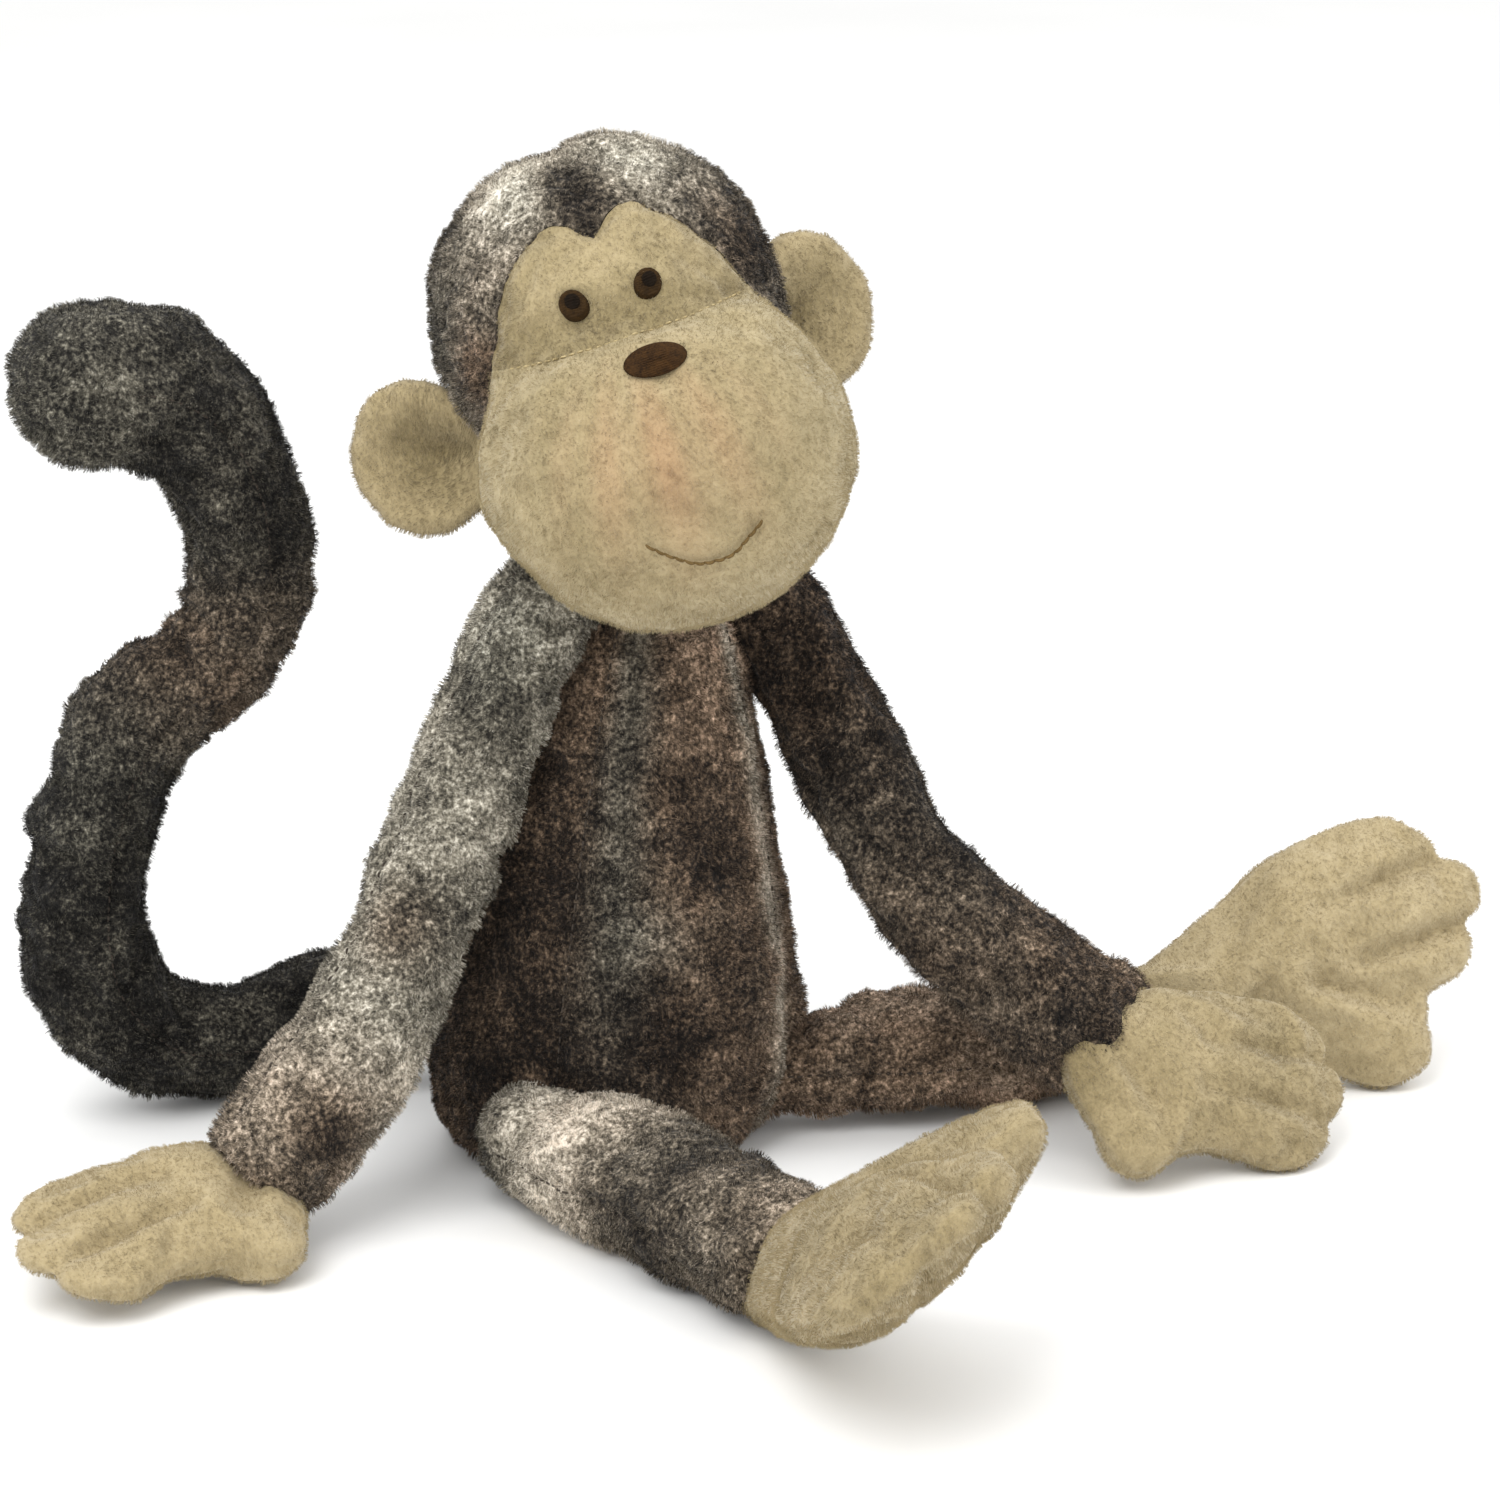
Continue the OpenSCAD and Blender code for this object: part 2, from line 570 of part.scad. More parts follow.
module leg_right_top() { color(fur) leg_skin(LEG_RIGHT, 0); }
module leg_right_under() { color(dark_fur) leg_skin(LEG_RIGHT, 180); }
module leg_right_stuffing() { color(filling) leg_filling(LEG_RIGHT); }

// ---------------------------------------------------------------- feet

// Outline from the ankle's hinge at 0, 0 with toes along u and the big toe on +v
FOOT_OUTLINE = smooth_loop([
    [-9, -11], [4, -15], [22, -19], [44, -25], [66, -26], [84, -20], [95, -9], [97, 4],
    [92, 15], [82, 22], [70, 25], [69, 32], [65, 42], [52, 44], [38, 34], [22, 22], [6, 17],
    [-9, 12], [-14, 0]], 34);
FOOT_MIDDLE = [48, 4];
FOOT_TAPER = 0.004;
FOOT_LEFT = [[144, -37, 21], [85, -36, 34], [10, -50, -85]];
FOOT_RIGHT = [[-22, -137, 15], [-6, -86, 50], [87, 20, 45]];
module foot_panel(foot, side) {
    laid(foot[0], foot[1], foot[2])
        pillow_panel(FOOT_OUTLINE, FOOT_MIDDLE, foot_half_t, FOOT_TAPER, side);
}
module foot_filling(foot) {
    laid(foot[0], foot[1], foot[2])
        pillow_filling(FOOT_OUTLINE, FOOT_MIDDLE, foot_half_t, FOOT_TAPER);
}
module foot_left_top() { color(cream) foot_panel(FOOT_LEFT, -1); }
module foot_left_sole() { color(cream) foot_panel(FOOT_LEFT, 1); }
module foot_left_stuffing() { color(filling) foot_filling(FOOT_LEFT); }
module foot_right_top() { color(cream) foot_panel(FOOT_RIGHT, 1); }
module foot_right_sole() { color(cream) foot_panel(FOOT_RIGHT, -1); }
module foot_right_stuffing() { color(filling) foot_filling(FOOT_RIGHT); }

// ---------------------------------------------------------------- tail

// Stations from the low back along the floor and up to the kink
TAIL_BASE = smooth([
    [-12, 50, 23, 9, 9], [-28, 56, 24, 14, 14], [-50, 64, 22, 15, 15],
    [-74, 70, 17.5, tail_r - 0.5, tail_r - 0.5], [-94, 73, 20, tail_r, tail_r],
    [-109, 72, 34, tail_r + 1, tail_r + 1], [-116, 70, 52, tail_r + 1, tail_r + 1],
    [-115, 69, 72, tail_r + 1, tail_r + 1], [-107, 68, 95, tail_r, tail_r],
    [-88, 65, 118, tail_r - 1, tail_r - 1]], 14);
// Stations from the kink's hinge to the round tip
TAIL_TIP = smooth([
    [-77, 64, 129.5, 13, 13], [-70.5, 62, 145, 14.5, 14.5], [-72, 60, 166, tail_r - 0.5, tail_r - 0.5],
    [-81, 60, 185, tail_r + 1.5, tail_r + 1.5], [-97, 60, 196, tail_r + 3.5, tail_r + 3.5],
    [-110, 60, 197, tail_r + 3.5, tail_r + 3.5]], 8);
TAIL_UPRIGHT = [0, 1, 0];
TAIL_AROUND = 12;
function tail_rows(base) = base ? capped(TAIL_BASE, true, false) : capped(TAIL_TIP, true, true);
module tail_skin(base, a0) {
    limb_skin(tail_rows(base), TAIL_UPRIGHT, a0, a0 + 180, TAIL_AROUND / 2);
}
module tail_filling(base) {
    limb_filling(tail_rows(base), TAIL_UPRIGHT, TAIL_AROUND, wire_r + lining_gap);
}
module tail_wire(rows) {
    wire = [for (st = rows) [st[0], st[1], st[2], wire_r, wire_r]];
    stuffed([for (i = [0 : len(wire) - 1])
        ring(wire[i], heading(wire, i), TAIL_UPRIGHT, 0, 0, 300, 5)]);
}
module tail_base_outer() { color(dark_fur) tail_skin(true, 90); }
module tail_base_inner() { color(fur) tail_skin(true, 270); }
module tail_base_stuffing() { color(filling) tail_filling(true); }
module tail_wire_base() { color("silver") tail_wire(TAIL_BASE); }
module tail_tip_outer() { color(dark_fur) tail_skin(false, 90); }
module tail_tip_inner() { color(fur) tail_skin(false, 270); }
module tail_tip_stuffing() { color(filling) tail_filling(false); }
module tail_wire_tip() { color("silver") tail_wire(TAIL_TIP); }

// ---------------------------------------------------------------- assembly

torso_front();
torso_back_left();
torso_back_right();
torso_seat();
torso_stuffing();
bean_pouch();
bean_fill();
neck_stuffing();
head_cap_left();
head_cap_right();
face_panel();
muzzle_panel();
head_stuffing();
eye_left();
eye_right();
nose();
mouth_stitch();
ear_left_front();
ear_left_back();
ear_right_front();
ear_right_back();
arm_left_front();
arm_left_back();
arm_left_stuffing();
arm_right_front();
arm_right_back();
arm_right_stuffing();
hand_left_back();
hand_left_palm();
hand_left_stuffing();
hand_right_back();
hand_right_palm();
hand_right_stuffing();
leg_left_top();
leg_left_under();
leg_left_stuffing();
leg_right_top();
leg_right_under();
leg_right_stuffing();
foot_left_top();
foot_left_sole();
foot_left_stuffing();
foot_right_top();
foot_right_sole();
foot_right_stuffing();
tail_base_outer();
tail_base_inner();
tail_base_stuffing();
tail_wire_base();
tail_tip_outer();
tail_tip_inner();
tail_tip_stuffing();
tail_wire_tip();
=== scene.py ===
"""Seated plush monkey: sewn fabric panels, pile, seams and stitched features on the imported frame.

Shapes are worked out in millimetres, and mesh_object writes them in metres.
"""
import json
import math
import bpy
import numpy as np
from mathutils import Matrix, Vector
from mathutils.kdtree import KDTree


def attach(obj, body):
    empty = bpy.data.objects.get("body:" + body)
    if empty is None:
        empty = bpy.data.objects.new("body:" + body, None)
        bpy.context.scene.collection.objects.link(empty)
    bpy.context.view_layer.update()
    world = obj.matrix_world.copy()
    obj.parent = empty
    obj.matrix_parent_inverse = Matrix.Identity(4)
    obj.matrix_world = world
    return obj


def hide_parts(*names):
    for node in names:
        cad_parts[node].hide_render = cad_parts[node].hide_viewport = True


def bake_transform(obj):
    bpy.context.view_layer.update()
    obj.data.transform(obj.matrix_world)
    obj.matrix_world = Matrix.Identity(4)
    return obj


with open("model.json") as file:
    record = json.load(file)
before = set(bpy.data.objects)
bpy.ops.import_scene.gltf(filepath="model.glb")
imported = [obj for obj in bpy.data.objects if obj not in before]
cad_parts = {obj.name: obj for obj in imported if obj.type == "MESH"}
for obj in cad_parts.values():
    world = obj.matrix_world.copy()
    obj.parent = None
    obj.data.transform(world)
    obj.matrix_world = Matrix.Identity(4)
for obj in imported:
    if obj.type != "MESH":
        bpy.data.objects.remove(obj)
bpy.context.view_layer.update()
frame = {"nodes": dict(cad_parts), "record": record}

MM = 0.001
PILE_ROOM = 0.7    # a limb's fabric lies this far under its outline, where its pile ends
FLOOR_GAP = 0.3    # the lowest that any fabric but the seat may lie
HINGE = {j["name"]: np.array(j["pos_m"], float) / MM for j in frame["record"]["behaviour"]["joints"]}


def V(*p):
    return np.array(p, float)


def unit(v):
    return v / np.maximum(np.linalg.norm(v, axis=-1, keepdims=True), 1e-9)


def bump(d, width):
    """A smooth hill of height 1 where d is 0."""
    return np.exp(-(d / width) ** 2)


def stops(s, *pairs):
    """Straight lines between (place, value) pairs."""
    return np.interp(s, *zip(*pairs))


def resampled(P, along, places):
    """The rows of P at other places along it."""
    return np.array([np.interp(places, along, P[:, k]) for k in range(P.shape[1])]).T


def lengths(P):
    """How far along a line each of its points is."""
    return np.concatenate([[0], np.cumsum(np.linalg.norm(np.diff(P, axis=0), axis=1))])


def wobble(P, size, seed):
    """Smooth noise from -1 to 1 that depends only on the place."""
    rng = np.random.default_rng(seed)
    out = 0
    for _ in range(7):
        k = unit(rng.normal(size=3)) * rng.uniform(0.6, 1.5) * 2 * math.pi / size
        out = out + np.sin(P @ k + rng.uniform(0, 6.28))
    return out / 3.2


# ------------------------------------------------------------------ shape tools

def spline(a, b, c, d, t):
    """Catmull-Rom, from b at t = 0 to c at t = 1."""
    squared, cubed = 2 * a - 5 * b + 4 * c - d, 3 * b - a - 3 * c + d
    return 0.5 * (2 * b + (c - a) * t + squared * t * t + cubed * t ** 3)


def curve(rows, n):
    """n points on an open curve through rows of numbers."""
    rows = np.array(rows, float)
    last = len(rows) - 1
    out = []
    for s in np.linspace(0, last, n):
        k = min(int(s), last - 1)
        out.append(spline(rows[max(k - 1, 0)], rows[k], rows[k + 1], rows[min(k + 2, last)], s - k))
    return np.array(out)


def loop(rows, n):
    """n points on a closed curve through rows of numbers."""
    rows = np.array(rows, float)
    m = len(rows)
    out = []
    for i in range(n):
        s = i * m / n
        k = int(s)
        out.append(spline(*(rows[(k + j) % m] for j in (-1, 0, 1, 2)), s - k))
    return np.array(out)


def even(rows, step):
    """The curve through rows, with stations about step apart."""
    fine = curve(rows, 60 * len(rows))
    along = lengths(fine[:, :3])
    return resampled(fine, along, np.linspace(0, along[-1], max(6, int(along[-1] / step))))


DOME = np.radians([3, 12, 22, 33, 45, 57, 69, 80])


def domed(rows, start, end):
    """Rounds off the ends of a tube: 1 is a half ball, less is a flatter end, 0 is open."""
    rows = np.array(rows, float)

    def cap(row, t, depth):
        reach = min(row[3], row[4]) * depth
        return np.array([[*(row[:3] + t * reach * math.cos(a)), row[3] * math.sin(a), row[4] * math.sin(a)]
                         for a in DOME])
    if start:
        rows = np.vstack([cap(rows[0], -unit(rows[1, :3] - rows[0, :3]), start), rows])
    if end:
        rows = np.vstack([rows, cap(rows[-1], unit(rows[-1, :3] - rows[-2, :3]), end)[::-1]])
    return rows


class Limb:
    """A tube of fabric along a curve. Angle 0 is along its side, 90 along its height."""

    def __init__(self, rows, upright, start=1.0, end=0.42, step=1.8):
        stations = even(rows, step)
        stations[:, 3:5] -= PILE_ROOM
        self.rows = domed(stations, start, end)
        mid = self.rows[:, :3]
        ahead = unit(np.gradient(mid, axis=0))
        tube = unit(np.gradient(stations[:, :3], axis=0))
        if start:
            ahead[:len(DOME)] = tube[0]
        if end:
            ahead[-len(DOME):] = tube[-1]
        self.side = unit(np.cross(ahead, V(*upright)))
        self.up = np.cross(self.side, ahead)
        self.along = lengths(mid)

    def grid(self, a0, a1, n):
        """Points, outward directions, lengths along and angles, from angle a0 to a1."""
        a = np.radians(np.linspace(a0, a1, n))
        c, s = np.cos(a)[None, :, None], np.sin(a)[None, :, None]
        wide = self.side[:, None] * self.rows[:, None, 3:4]
        high = self.up[:, None] * self.rows[:, None, 4:5]
        out = wide * c + high * s
        along = np.broadcast_to(self.along[:, None], out.shape[:2])
        return self.rows[:, None, :3] + out, unit(out), along, np.broadcast_to(a[None], out.shape[:2])


def quads(m, n, wrap=False):
    faces = []
    cols = n if wrap else n - 1
    for i in range(m - 1):
        for j in range(cols):
            k = (j + 1) % n
            faces.append((i * n + j, i * n + k, (i + 1) * n + k, (i + 1) * n + j))
    return faces


def mesh_object(name, points, faces, outward=None):
    """A smooth mesh in metres from points in millimetres, its faces turned outward."""
    me = bpy.data.meshes.new(name)
    me.from_pydata([tuple(p) for p in np.asarray(points, float) * MM], [], faces)
    me.validate()
    me.update()
    if outward is not None:
        normals = np.array([v.normal for v in me.vertices])
        if (normals * np.asarray(outward)).sum() < 0:
            me.flip_normals()
    for p in me.polygons:
        p.use_smooth = True
    o = bpy.data.objects.new(name, me)
    bpy.context.collection.objects.link(o)
    return o


def closed(grids):
    """Points and faces of several grids, each closed with a fan where asked."""
    pts, faces, base = [], [], 0
    for P, wrap, fans in grids:
        m, n = P.shape[:2]
        pts.append(P.reshape(-1, 3))
        faces += [tuple(base + i for i in f) for f in quads(m, n, wrap)]
        if fans:
            faces.append(tuple(base + j for j in range(n))[::-1])
            faces.append(tuple(base + (m - 1) * n + j for j in range(n)))
        base += m * n
    return np.vstack(pts), faces


# ------------------------------------------------------------------ cloth

def tree_of(points):
    tree = KDTree(len(points))
    for i, p in enumerate(points):
        tree.insert(Vector(p), i)
    tree.balance()
    return tree


class Puff:
    """How fabric moves when it is filled: a pressure simulation, held along its seams.

    voxel is the size of the simulated mesh's faces, and cap is about the furthest that a point may
    move.
    """
    PRESSURE = 3.0
    FRAMES = 20
    SHRINK = -0.06     # the cloth is cut a little larger than the shape

    def __init__(self, points, faces, seams, voxel, cap):
        self.tree = None
        me = bpy.data.meshes.new("puff")
        me.from_pydata([tuple(p) for p in points * MM], [], faces)
        o = bpy.data.objects.new("puff", me)
        bpy.context.collection.objects.link(o)
        bpy.context.view_layer.objects.active = o
        m = o.modifiers.new("voxels", "REMESH")
        m.mode = "VOXEL"
        m.voxel_size = voxel * MM
        dg = bpy.context.evaluated_depsgraph_get()
        remeshed = bpy.data.meshes.new_from_object(o.evaluated_get(dg))
        o.modifiers.clear()
        o.data = remeshed
        start = np.array([v.co for v in remeshed.vertices]) / MM
        hold = o.vertex_groups.new(name="seam")
        for i, d in enumerate(seam_distance(seams)(start)):
            if d < voxel * 0.9:
                hold.add([i], 1.0 if d < voxel * 0.6 else 0.6, "REPLACE")
        cloth = o.modifiers.new("cloth", "CLOTH")
        cs = cloth.settings
        cs.quality = 6
        cs.mass = 0.3
        cs.tension_stiffness = cs.compression_stiffness = 12
        cs.shear_stiffness = 6
        cs.bending_stiffness = 0.15
        cs.use_pressure = True
        cs.uniform_pressure_force = self.PRESSURE
        cs.shrink_min = self.SHRINK
        cs.vertex_group_mass = "seam"
        cs.pin_stiffness = 1.0
        cs.effector_weights.gravity = 0
        cloth.collision_settings.use_collision = False
        cloth.point_cache.frame_end = self.FRAMES
        sc = bpy.context.scene
        for f in range(1, self.FRAMES + 1):
            sc.frame_set(f)
        dg = bpy.context.evaluated_depsgraph_get()
        ev = o.evaluated_get(dg)
        done = np.array([v.co for v in ev.data.vertices]) / MM
        normals = np.array([v.normal for v in remeshed.vertices])
        sc.frame_set(1)
        move = done - start
        move -= normals * np.mean((move * normals).sum(1))
        size = np.linalg.norm(move, axis=1, keepdims=True)
        move *= cap * np.tanh(size / cap) / np.maximum(size, 1e-9)
        self.move = move
        self.tree = tree_of(start)
        bpy.data.objects.remove(o)

    def __call__(self, P):
        if self.tree is None:
            return P
        out = np.array(P, float)
        flat = out.reshape(-1, 3)
        for i, p in enumerate(flat.copy()):
            near = self.tree.find_n(Vector(p), 5)
            w = np.array([1 / (d + 0.6) ** 2 for _, _, d in near])
            flat[i] = p + (w[:, None] * self.move[[k for _, k, _ in near]]).sum(0) / w.sum()
        return out


def seam_distance(seams):
    """A function of points: how far each is from the nearest seam point."""
    tree = tree_of(seams)

    def dist(P):
        flat = np.asarray(P).reshape(-1, 3)
        return np.array([tree.find(Vector(p))[2] for p in flat]).reshape(np.asarray(P).shape[:-1])
    return dist


def pulled_in(P, out, dist, depth, width, puckers=1.0):
    """Fabric drawn in along its seams, with small puckers."""
    d = dist(P)
    draw = 1 + puckers * (0.3 * wobble(P, 7, 5) + 0.2 * wobble(P, 3.4, 6))
    pucker = 0.35 * puckers * wobble(P, 6.5, 8) * bump(d, 6)
    return P + out * (pucker - depth * draw * bump(d, width))[..., None]


# ------------------------------------------------------------------ materials

class Nodes:
    """A material and short ways to add its nodes. Sizes are in millimetres."""

    def __init__(self, name):
        self.mat = bpy.data.materials.new(name)
        self.mat.use_nodes = True
        self.t = self.mat.node_tree
        self.bsdf = self.t.nodes["Principled BSDF"]
        self.coords = self.add("ShaderNodeTexCoord").outputs["Object"]

    def add(self, kind, **values):
        n = self.t.nodes.new(kind)
        for k, v in values.items():
            setattr(n, k, v)
        return n

    def link(self, a, b):
        self.t.links.new(a, b)

    def noise(self, size, detail=2.0, rough=0.5, distortion=0.0, stretch=None):
        n = self.add("ShaderNodeTexNoise")
        n.inputs["Scale"].default_value = 1 / (size * MM)
        n.inputs["Detail"].default_value = detail
        n.inputs["Roughness"].default_value = rough
        n.inputs["Distortion"].default_value = distortion
        if stretch:
            mp = self.add("ShaderNodeMapping")
            mp.inputs["Scale"].default_value = stretch
            self.link(self.coords, mp.inputs["Vector"])
            self.link(mp.outputs["Vector"], n.inputs["Vector"])
        else:
            self.link(self.coords, n.inputs["Vector"])
        return n.outputs["Fac"]

    def math(self, op, a, b=0.0, clamp=False):
        n = self.add("ShaderNodeMath", operation=op, use_clamp=clamp)
        for socket, v in zip(n.inputs, (a, b)):
            if isinstance(v, (int, float)):
                socket.default_value = v
            else:
                self.link(v, socket)
        return n.outputs[0]

    def vary(self, value, by, amount, middle=0.5):
        """value, plus amount times how far by is above its middle."""
        return self.math("ADD", value, self.math("MULTIPLY", self.math("SUBTRACT", by, middle), amount))

    def limited(self, value):
        return self.math("MAXIMUM", self.math("MINIMUM", value, 1.0), 0.0)

    def tone(self):
        """The panel's own tone: how light it is, and how brown or pink."""
        painted = self.add("ShaderNodeAttribute", attribute_name="tone")
        split = self.add("ShaderNodeSeparateColor")
        self.link(painted.outputs["Color"], split.inputs["Color"])
        return split.outputs[0], split.outputs[1]

    def ramp(self, fac, colours):
        n = self.add("ShaderNodeValToRGB")
        e = n.color_ramp.elements
        while len(e) < len(colours):
            e.new(0.5)
        for i, (pos, rgb) in enumerate(colours):
            e[i].position = pos
            e[i].color = (*[srgb(c) for c in rgb], 1)
        self.link(fac, n.inputs["Fac"])
        return n.outputs["Color"]

    def mix(self, fac, a, b, blend="MIX"):
        n = self.add("ShaderNodeMix", data_type="RGBA", blend_type=blend)
        for socket, v in ((n.inputs[0], fac), (n.inputs[6], a), (n.inputs[7], b)):
            if isinstance(v, (int, float)):
                socket.default_value = v
            elif isinstance(v, tuple):
                socket.default_value = (*[srgb(c) for c in v], 1)
            else:
                self.link(v, socket)
        return n.outputs[2]

    def bump(self, height, strength, distance):
        n = self.add("ShaderNodeBump")
        n.inputs["Strength"].default_value = strength
        n.inputs["Distance"].default_value = distance * MM
        self.link(height, n.inputs["Height"])
        self.link(n.outputs["Normal"], self.bsdf.inputs["Normal"])

    def done(self, color, roughness, sheen, specular):
        self.link(color, self.bsdf.inputs["Base Color"])
        self.bsdf.inputs["Roughness"].default_value = roughness
        self.bsdf.inputs["Specular IOR Level"].default_value = specular
        self.bsdf.inputs["Sheen Weight"].default_value = sheen
        self.bsdf.inputs["Sheen Roughness"].default_value = 0.6
        return self.mat


def srgb(c):
    c = c / 255
    return c / 12.92 if c <= 0.04045 else ((c + 0.055) / 1.055) ** 2.4


FUR_COLOURS = [(0.0, (13, 12, 11)), (0.22, (41, 39, 35)), (0.42, (82, 79, 70)), (0.6, (126, 122, 109)),
               (0.8, (182, 178, 164)), (1.0, (236, 232, 219))]
CREAM_COLOURS = [(0.0, (92, 79, 52)), (0.25, (136, 123, 88)), (0.5, (163, 148, 112)), (0.75, (181, 167, 133)),
                 (1.0, (203, 192, 164))]
BROWN_TINT, BLUSH = (255, 224, 208), (186, 132, 98)


def fur_material(name, hair):
    """Mottled grey-brown plush, lighter and browner where the panel's tone says so."""
    n = Nodes(name)
    light, brown = n.tone()
    large, tuft, speck = n.noise(17, 2, 0.5, 0.6), n.noise(4.2, 2, 0.6), n.noise(1.2, 2, 0.65)
    v = n.vary(n.vary(n.vary(light, large, 0.55), tuft, 0.6), speck, 1.35)
    if hair:
        info = n.add("ShaderNodeHairInfo")
        v = n.vary(v, info.outputs["Random"], 0.34)
        v = n.vary(v, info.outputs["Intercept"], 0.22, 0.55)
    grey = n.ramp(n.limited(v), FUR_COLOURS)
    share = n.math("MULTIPLY", brown, n.math("ADD", n.noise(24), 0.55), clamp=True)
    if not hair:
        n.bump(n.math("ADD", tuft, n.math("MULTIPLY", speck, 0.6)), 0.7, 1.1)
    return n.done(n.mix(share, grey, n.mix(1.0, grey, BROWN_TINT, "MULTIPLY")), 0.95, 0.08, 0.06)


def cream_material(name, hair):
    """Cream plush, lighter and pinker where the panel's tone says so."""
    n = Nodes(name)
    light, pink = n.tone()
    tuft, speck = n.noise(3.0, 2, 0.6), n.noise(0.8, 3, 0.7)
    v = n.vary(n.vary(n.vary(n.math("MULTIPLY", light, 0.75), n.noise(15), 0.35), tuft, 0.3), speck, 0.45)
    if hair:
        v = n.vary(v, n.add("ShaderNodeHairInfo").outputs["Random"], 0.25)
    cream = n.ramp(n.limited(v), CREAM_COLOURS)
    if not hair:
        n.bump(n.math("ADD", tuft, n.math("MULTIPLY", speck, 0.6)), 0.5, 0.8)
    return n.done(n.mix(n.math("MULTIPLY", pink, 0.75), cream, n.mix(0.5, cream, BLUSH)), 0.92, 0.25, 0.12)


def thread_material(name, dark, light):
    """Matt thread, its fibres running across the height."""
    n = Nodes(name)
    fibre = n.noise(0.5, 3, 0.6, 0.2, (1.0, 1.0, 6.0))
    v = n.math("ADD", fibre, n.math("MULTIPLY", n.math("SUBTRACT", n.noise(1.6), 0.5), 0.5), clamp=True)
    n.bump(fibre, 0.6, 0.25)
    return n.done(n.ramp(v, [(0.3, dark), (0.7, light)]), 0.75, 0.0, 0.1)


def plain_material(name, dark, light, size, roughness, metallic=0.0):
    n = Nodes(name)
    v = n.noise(size, 4, 0.6)
    n.bump(v, 0.3, 0.2)
    n.bsdf.inputs["Metallic"].default_value = metallic
    return n.done(n.ramp(v, [(0.3, dark), (0.7, light)]), roughness, 0.0, 0.4)


FUR = fur_material("fur_backing", False)
FUR_PILE = fur_material("fur_pile", True)
CREAM = cream_material("cream_backing", False)
CREAM_PILE = cream_material("cream_pile", True)
EYE_THREAD = thread_material("eye_thread", (26, 17, 7), (66, 47, 23))
PUPIL_THREAD = thread_material("pupil_thread", (11, 7, 3), (32, 22, 12))
NOSE_THREAD = thread_material("nose_thread", (24, 13, 5), (70, 47, 22))
MOUTH_THREAD = thread_material("mouth_thread", (78, 62, 34), (120, 98, 62))
GREY_THREAD = thread_material("grey_thread", (40, 34, 30), (92, 84, 76))
CREAM_THREAD = thread_material("cream_thread", (150, 132, 92), (205, 188, 146))


# ------------------------------------------------------------------ pieces

def toned(o, level, tint):
    """Writes the panel's tone for its material: lightness, and how brown or pink it is."""
    n = len(o.data.vertices)
    at = np.empty(len(o.data.loops), int)
    o.data.loops.foreach_get("vertex_index", at)
    level, tint = (np.clip(np.broadcast_to(np.ravel(x), (n,)), 0, 1)[at] for x in (level, tint))
    tone = o.data.color_attributes.new(name="tone", type="BYTE_COLOR", domain="CORNER")
    colours = np.stack([level, tint, np.zeros(len(at)), np.ones(len(at))], 1)
    tone.data.foreach_set("color", colours.reshape(-1))


# paler and darker places in the pile: place, radius, change in lightness and in brownness
PATCHES = [
    ((-42, -26, 129), 9, -0.12, 0.0), ((-50, -28, 101), 12, 0.07, 0.0), ((-72, -30, 78), 10, -0.10, 0.5),
    ((-85, -33, 58), 13, 0.10, 0.0), ((-95, -38, 33), 11, -0.18, 0.5), ((-47, -24, 146), 14, 0.06, -0.3),
    ((20, -40, 84), 13, -0.07, 0.2), ((24, -44, 50), 13, -0.04, 0.2), ((-8, -44, 66), 10, 0.10, -0.4),
    ((-2, -50, 16), 12, 0.07, -0.2), ((-22, -40, 40), 12, -0.06, 0.0), ((6, -46, 40), 9, -0.05, 0.2)]


def mottled(P, level, brown):
    """Adds the patches to a panel's tone."""
    for at, radius, lighter, browner in PATCHES:
        near = bump(np.linalg.norm(P - V(*at), axis=-1), radius)
        level, brown = level + lighter * near, brown + browner * near
    return level, brown


PILES = []       # pieces that get a pile, with the fabric they are made of
MATERIALS = {"fur": (FUR, FUR_PILE), "cream": (CREAM, CREAM_PILE)}
# length of the pile in millimetres, hairs for each square millimetre, hair radius, how far it clumps
PILE = {"fur": (1.3, 0.30, 0.14, 0.25), "cream": (0.8, 0.36, 0.11, 0.1)}


def smoothed(o):
    s = o.modifiers.new("smooth", "SUBSURF")
    s.levels = s.render_levels = 1


def grow_pile(o, kind, seed):
    length, hairs, radius, clump = PILE[kind]
    area = sum(p.area for p in o.data.polygons) / MM ** 2
    ps = o.modifiers.new("pile", "PARTICLE_SYSTEM").particle_system
    ps.seed = seed
    st = ps.settings
    st.type = "HAIR"
    st.count = int(area * hairs)
    st.hair_length = length * MM
    # speeds here are lengths of hair after 4 units of time
    st.factor_random = 0.55 * length * MM / 4
    st.object_align_factor = (0, 0, -0.25 * length * MM / 4)
    st.hair_step = 3
    st.use_modifier_stack = True
    st.material = 2
    st.render_step = st.display_step = 2
    st.root_radius = 1.0
    st.tip_radius = 0.45
    st.radius_scale = radius * MM
    st.child_type = "INTERPOLATED"
    st.rendered_child_count = 8
    st.child_percent = 0
    st.child_length = 1.0
    st.child_length_threshold = 0.0
    st.clump_factor = clump
    st.roughness_1 = st.roughness_2 = 0.55 * length * MM
    st.roughness_1_size = 4.0 * MM
    st.roughness_2_size = 1.0
    st.roughness_endpoint = 0.35 * length * MM


def grid_piece(name, P, outward, kind, slot_name, level, tint, wrap=False, pile=True):
    """A panel of fabric from a grid of points."""
    o = mesh_object(name, P.reshape(-1, 3), quads(P.shape[0], P.shape[1], wrap), outward.reshape(-1, 3))
    if kind == "fur":
        level, tint = mottled(P, level + 0 * P[..., 0], tint + 0 * P[..., 0])
    toned(o, level, tint)
    for m in MATERIALS[kind]:
        o.data.materials.append(m)
    smoothed(o)
    if pile:
        PILES.append((o, kind))
    return o


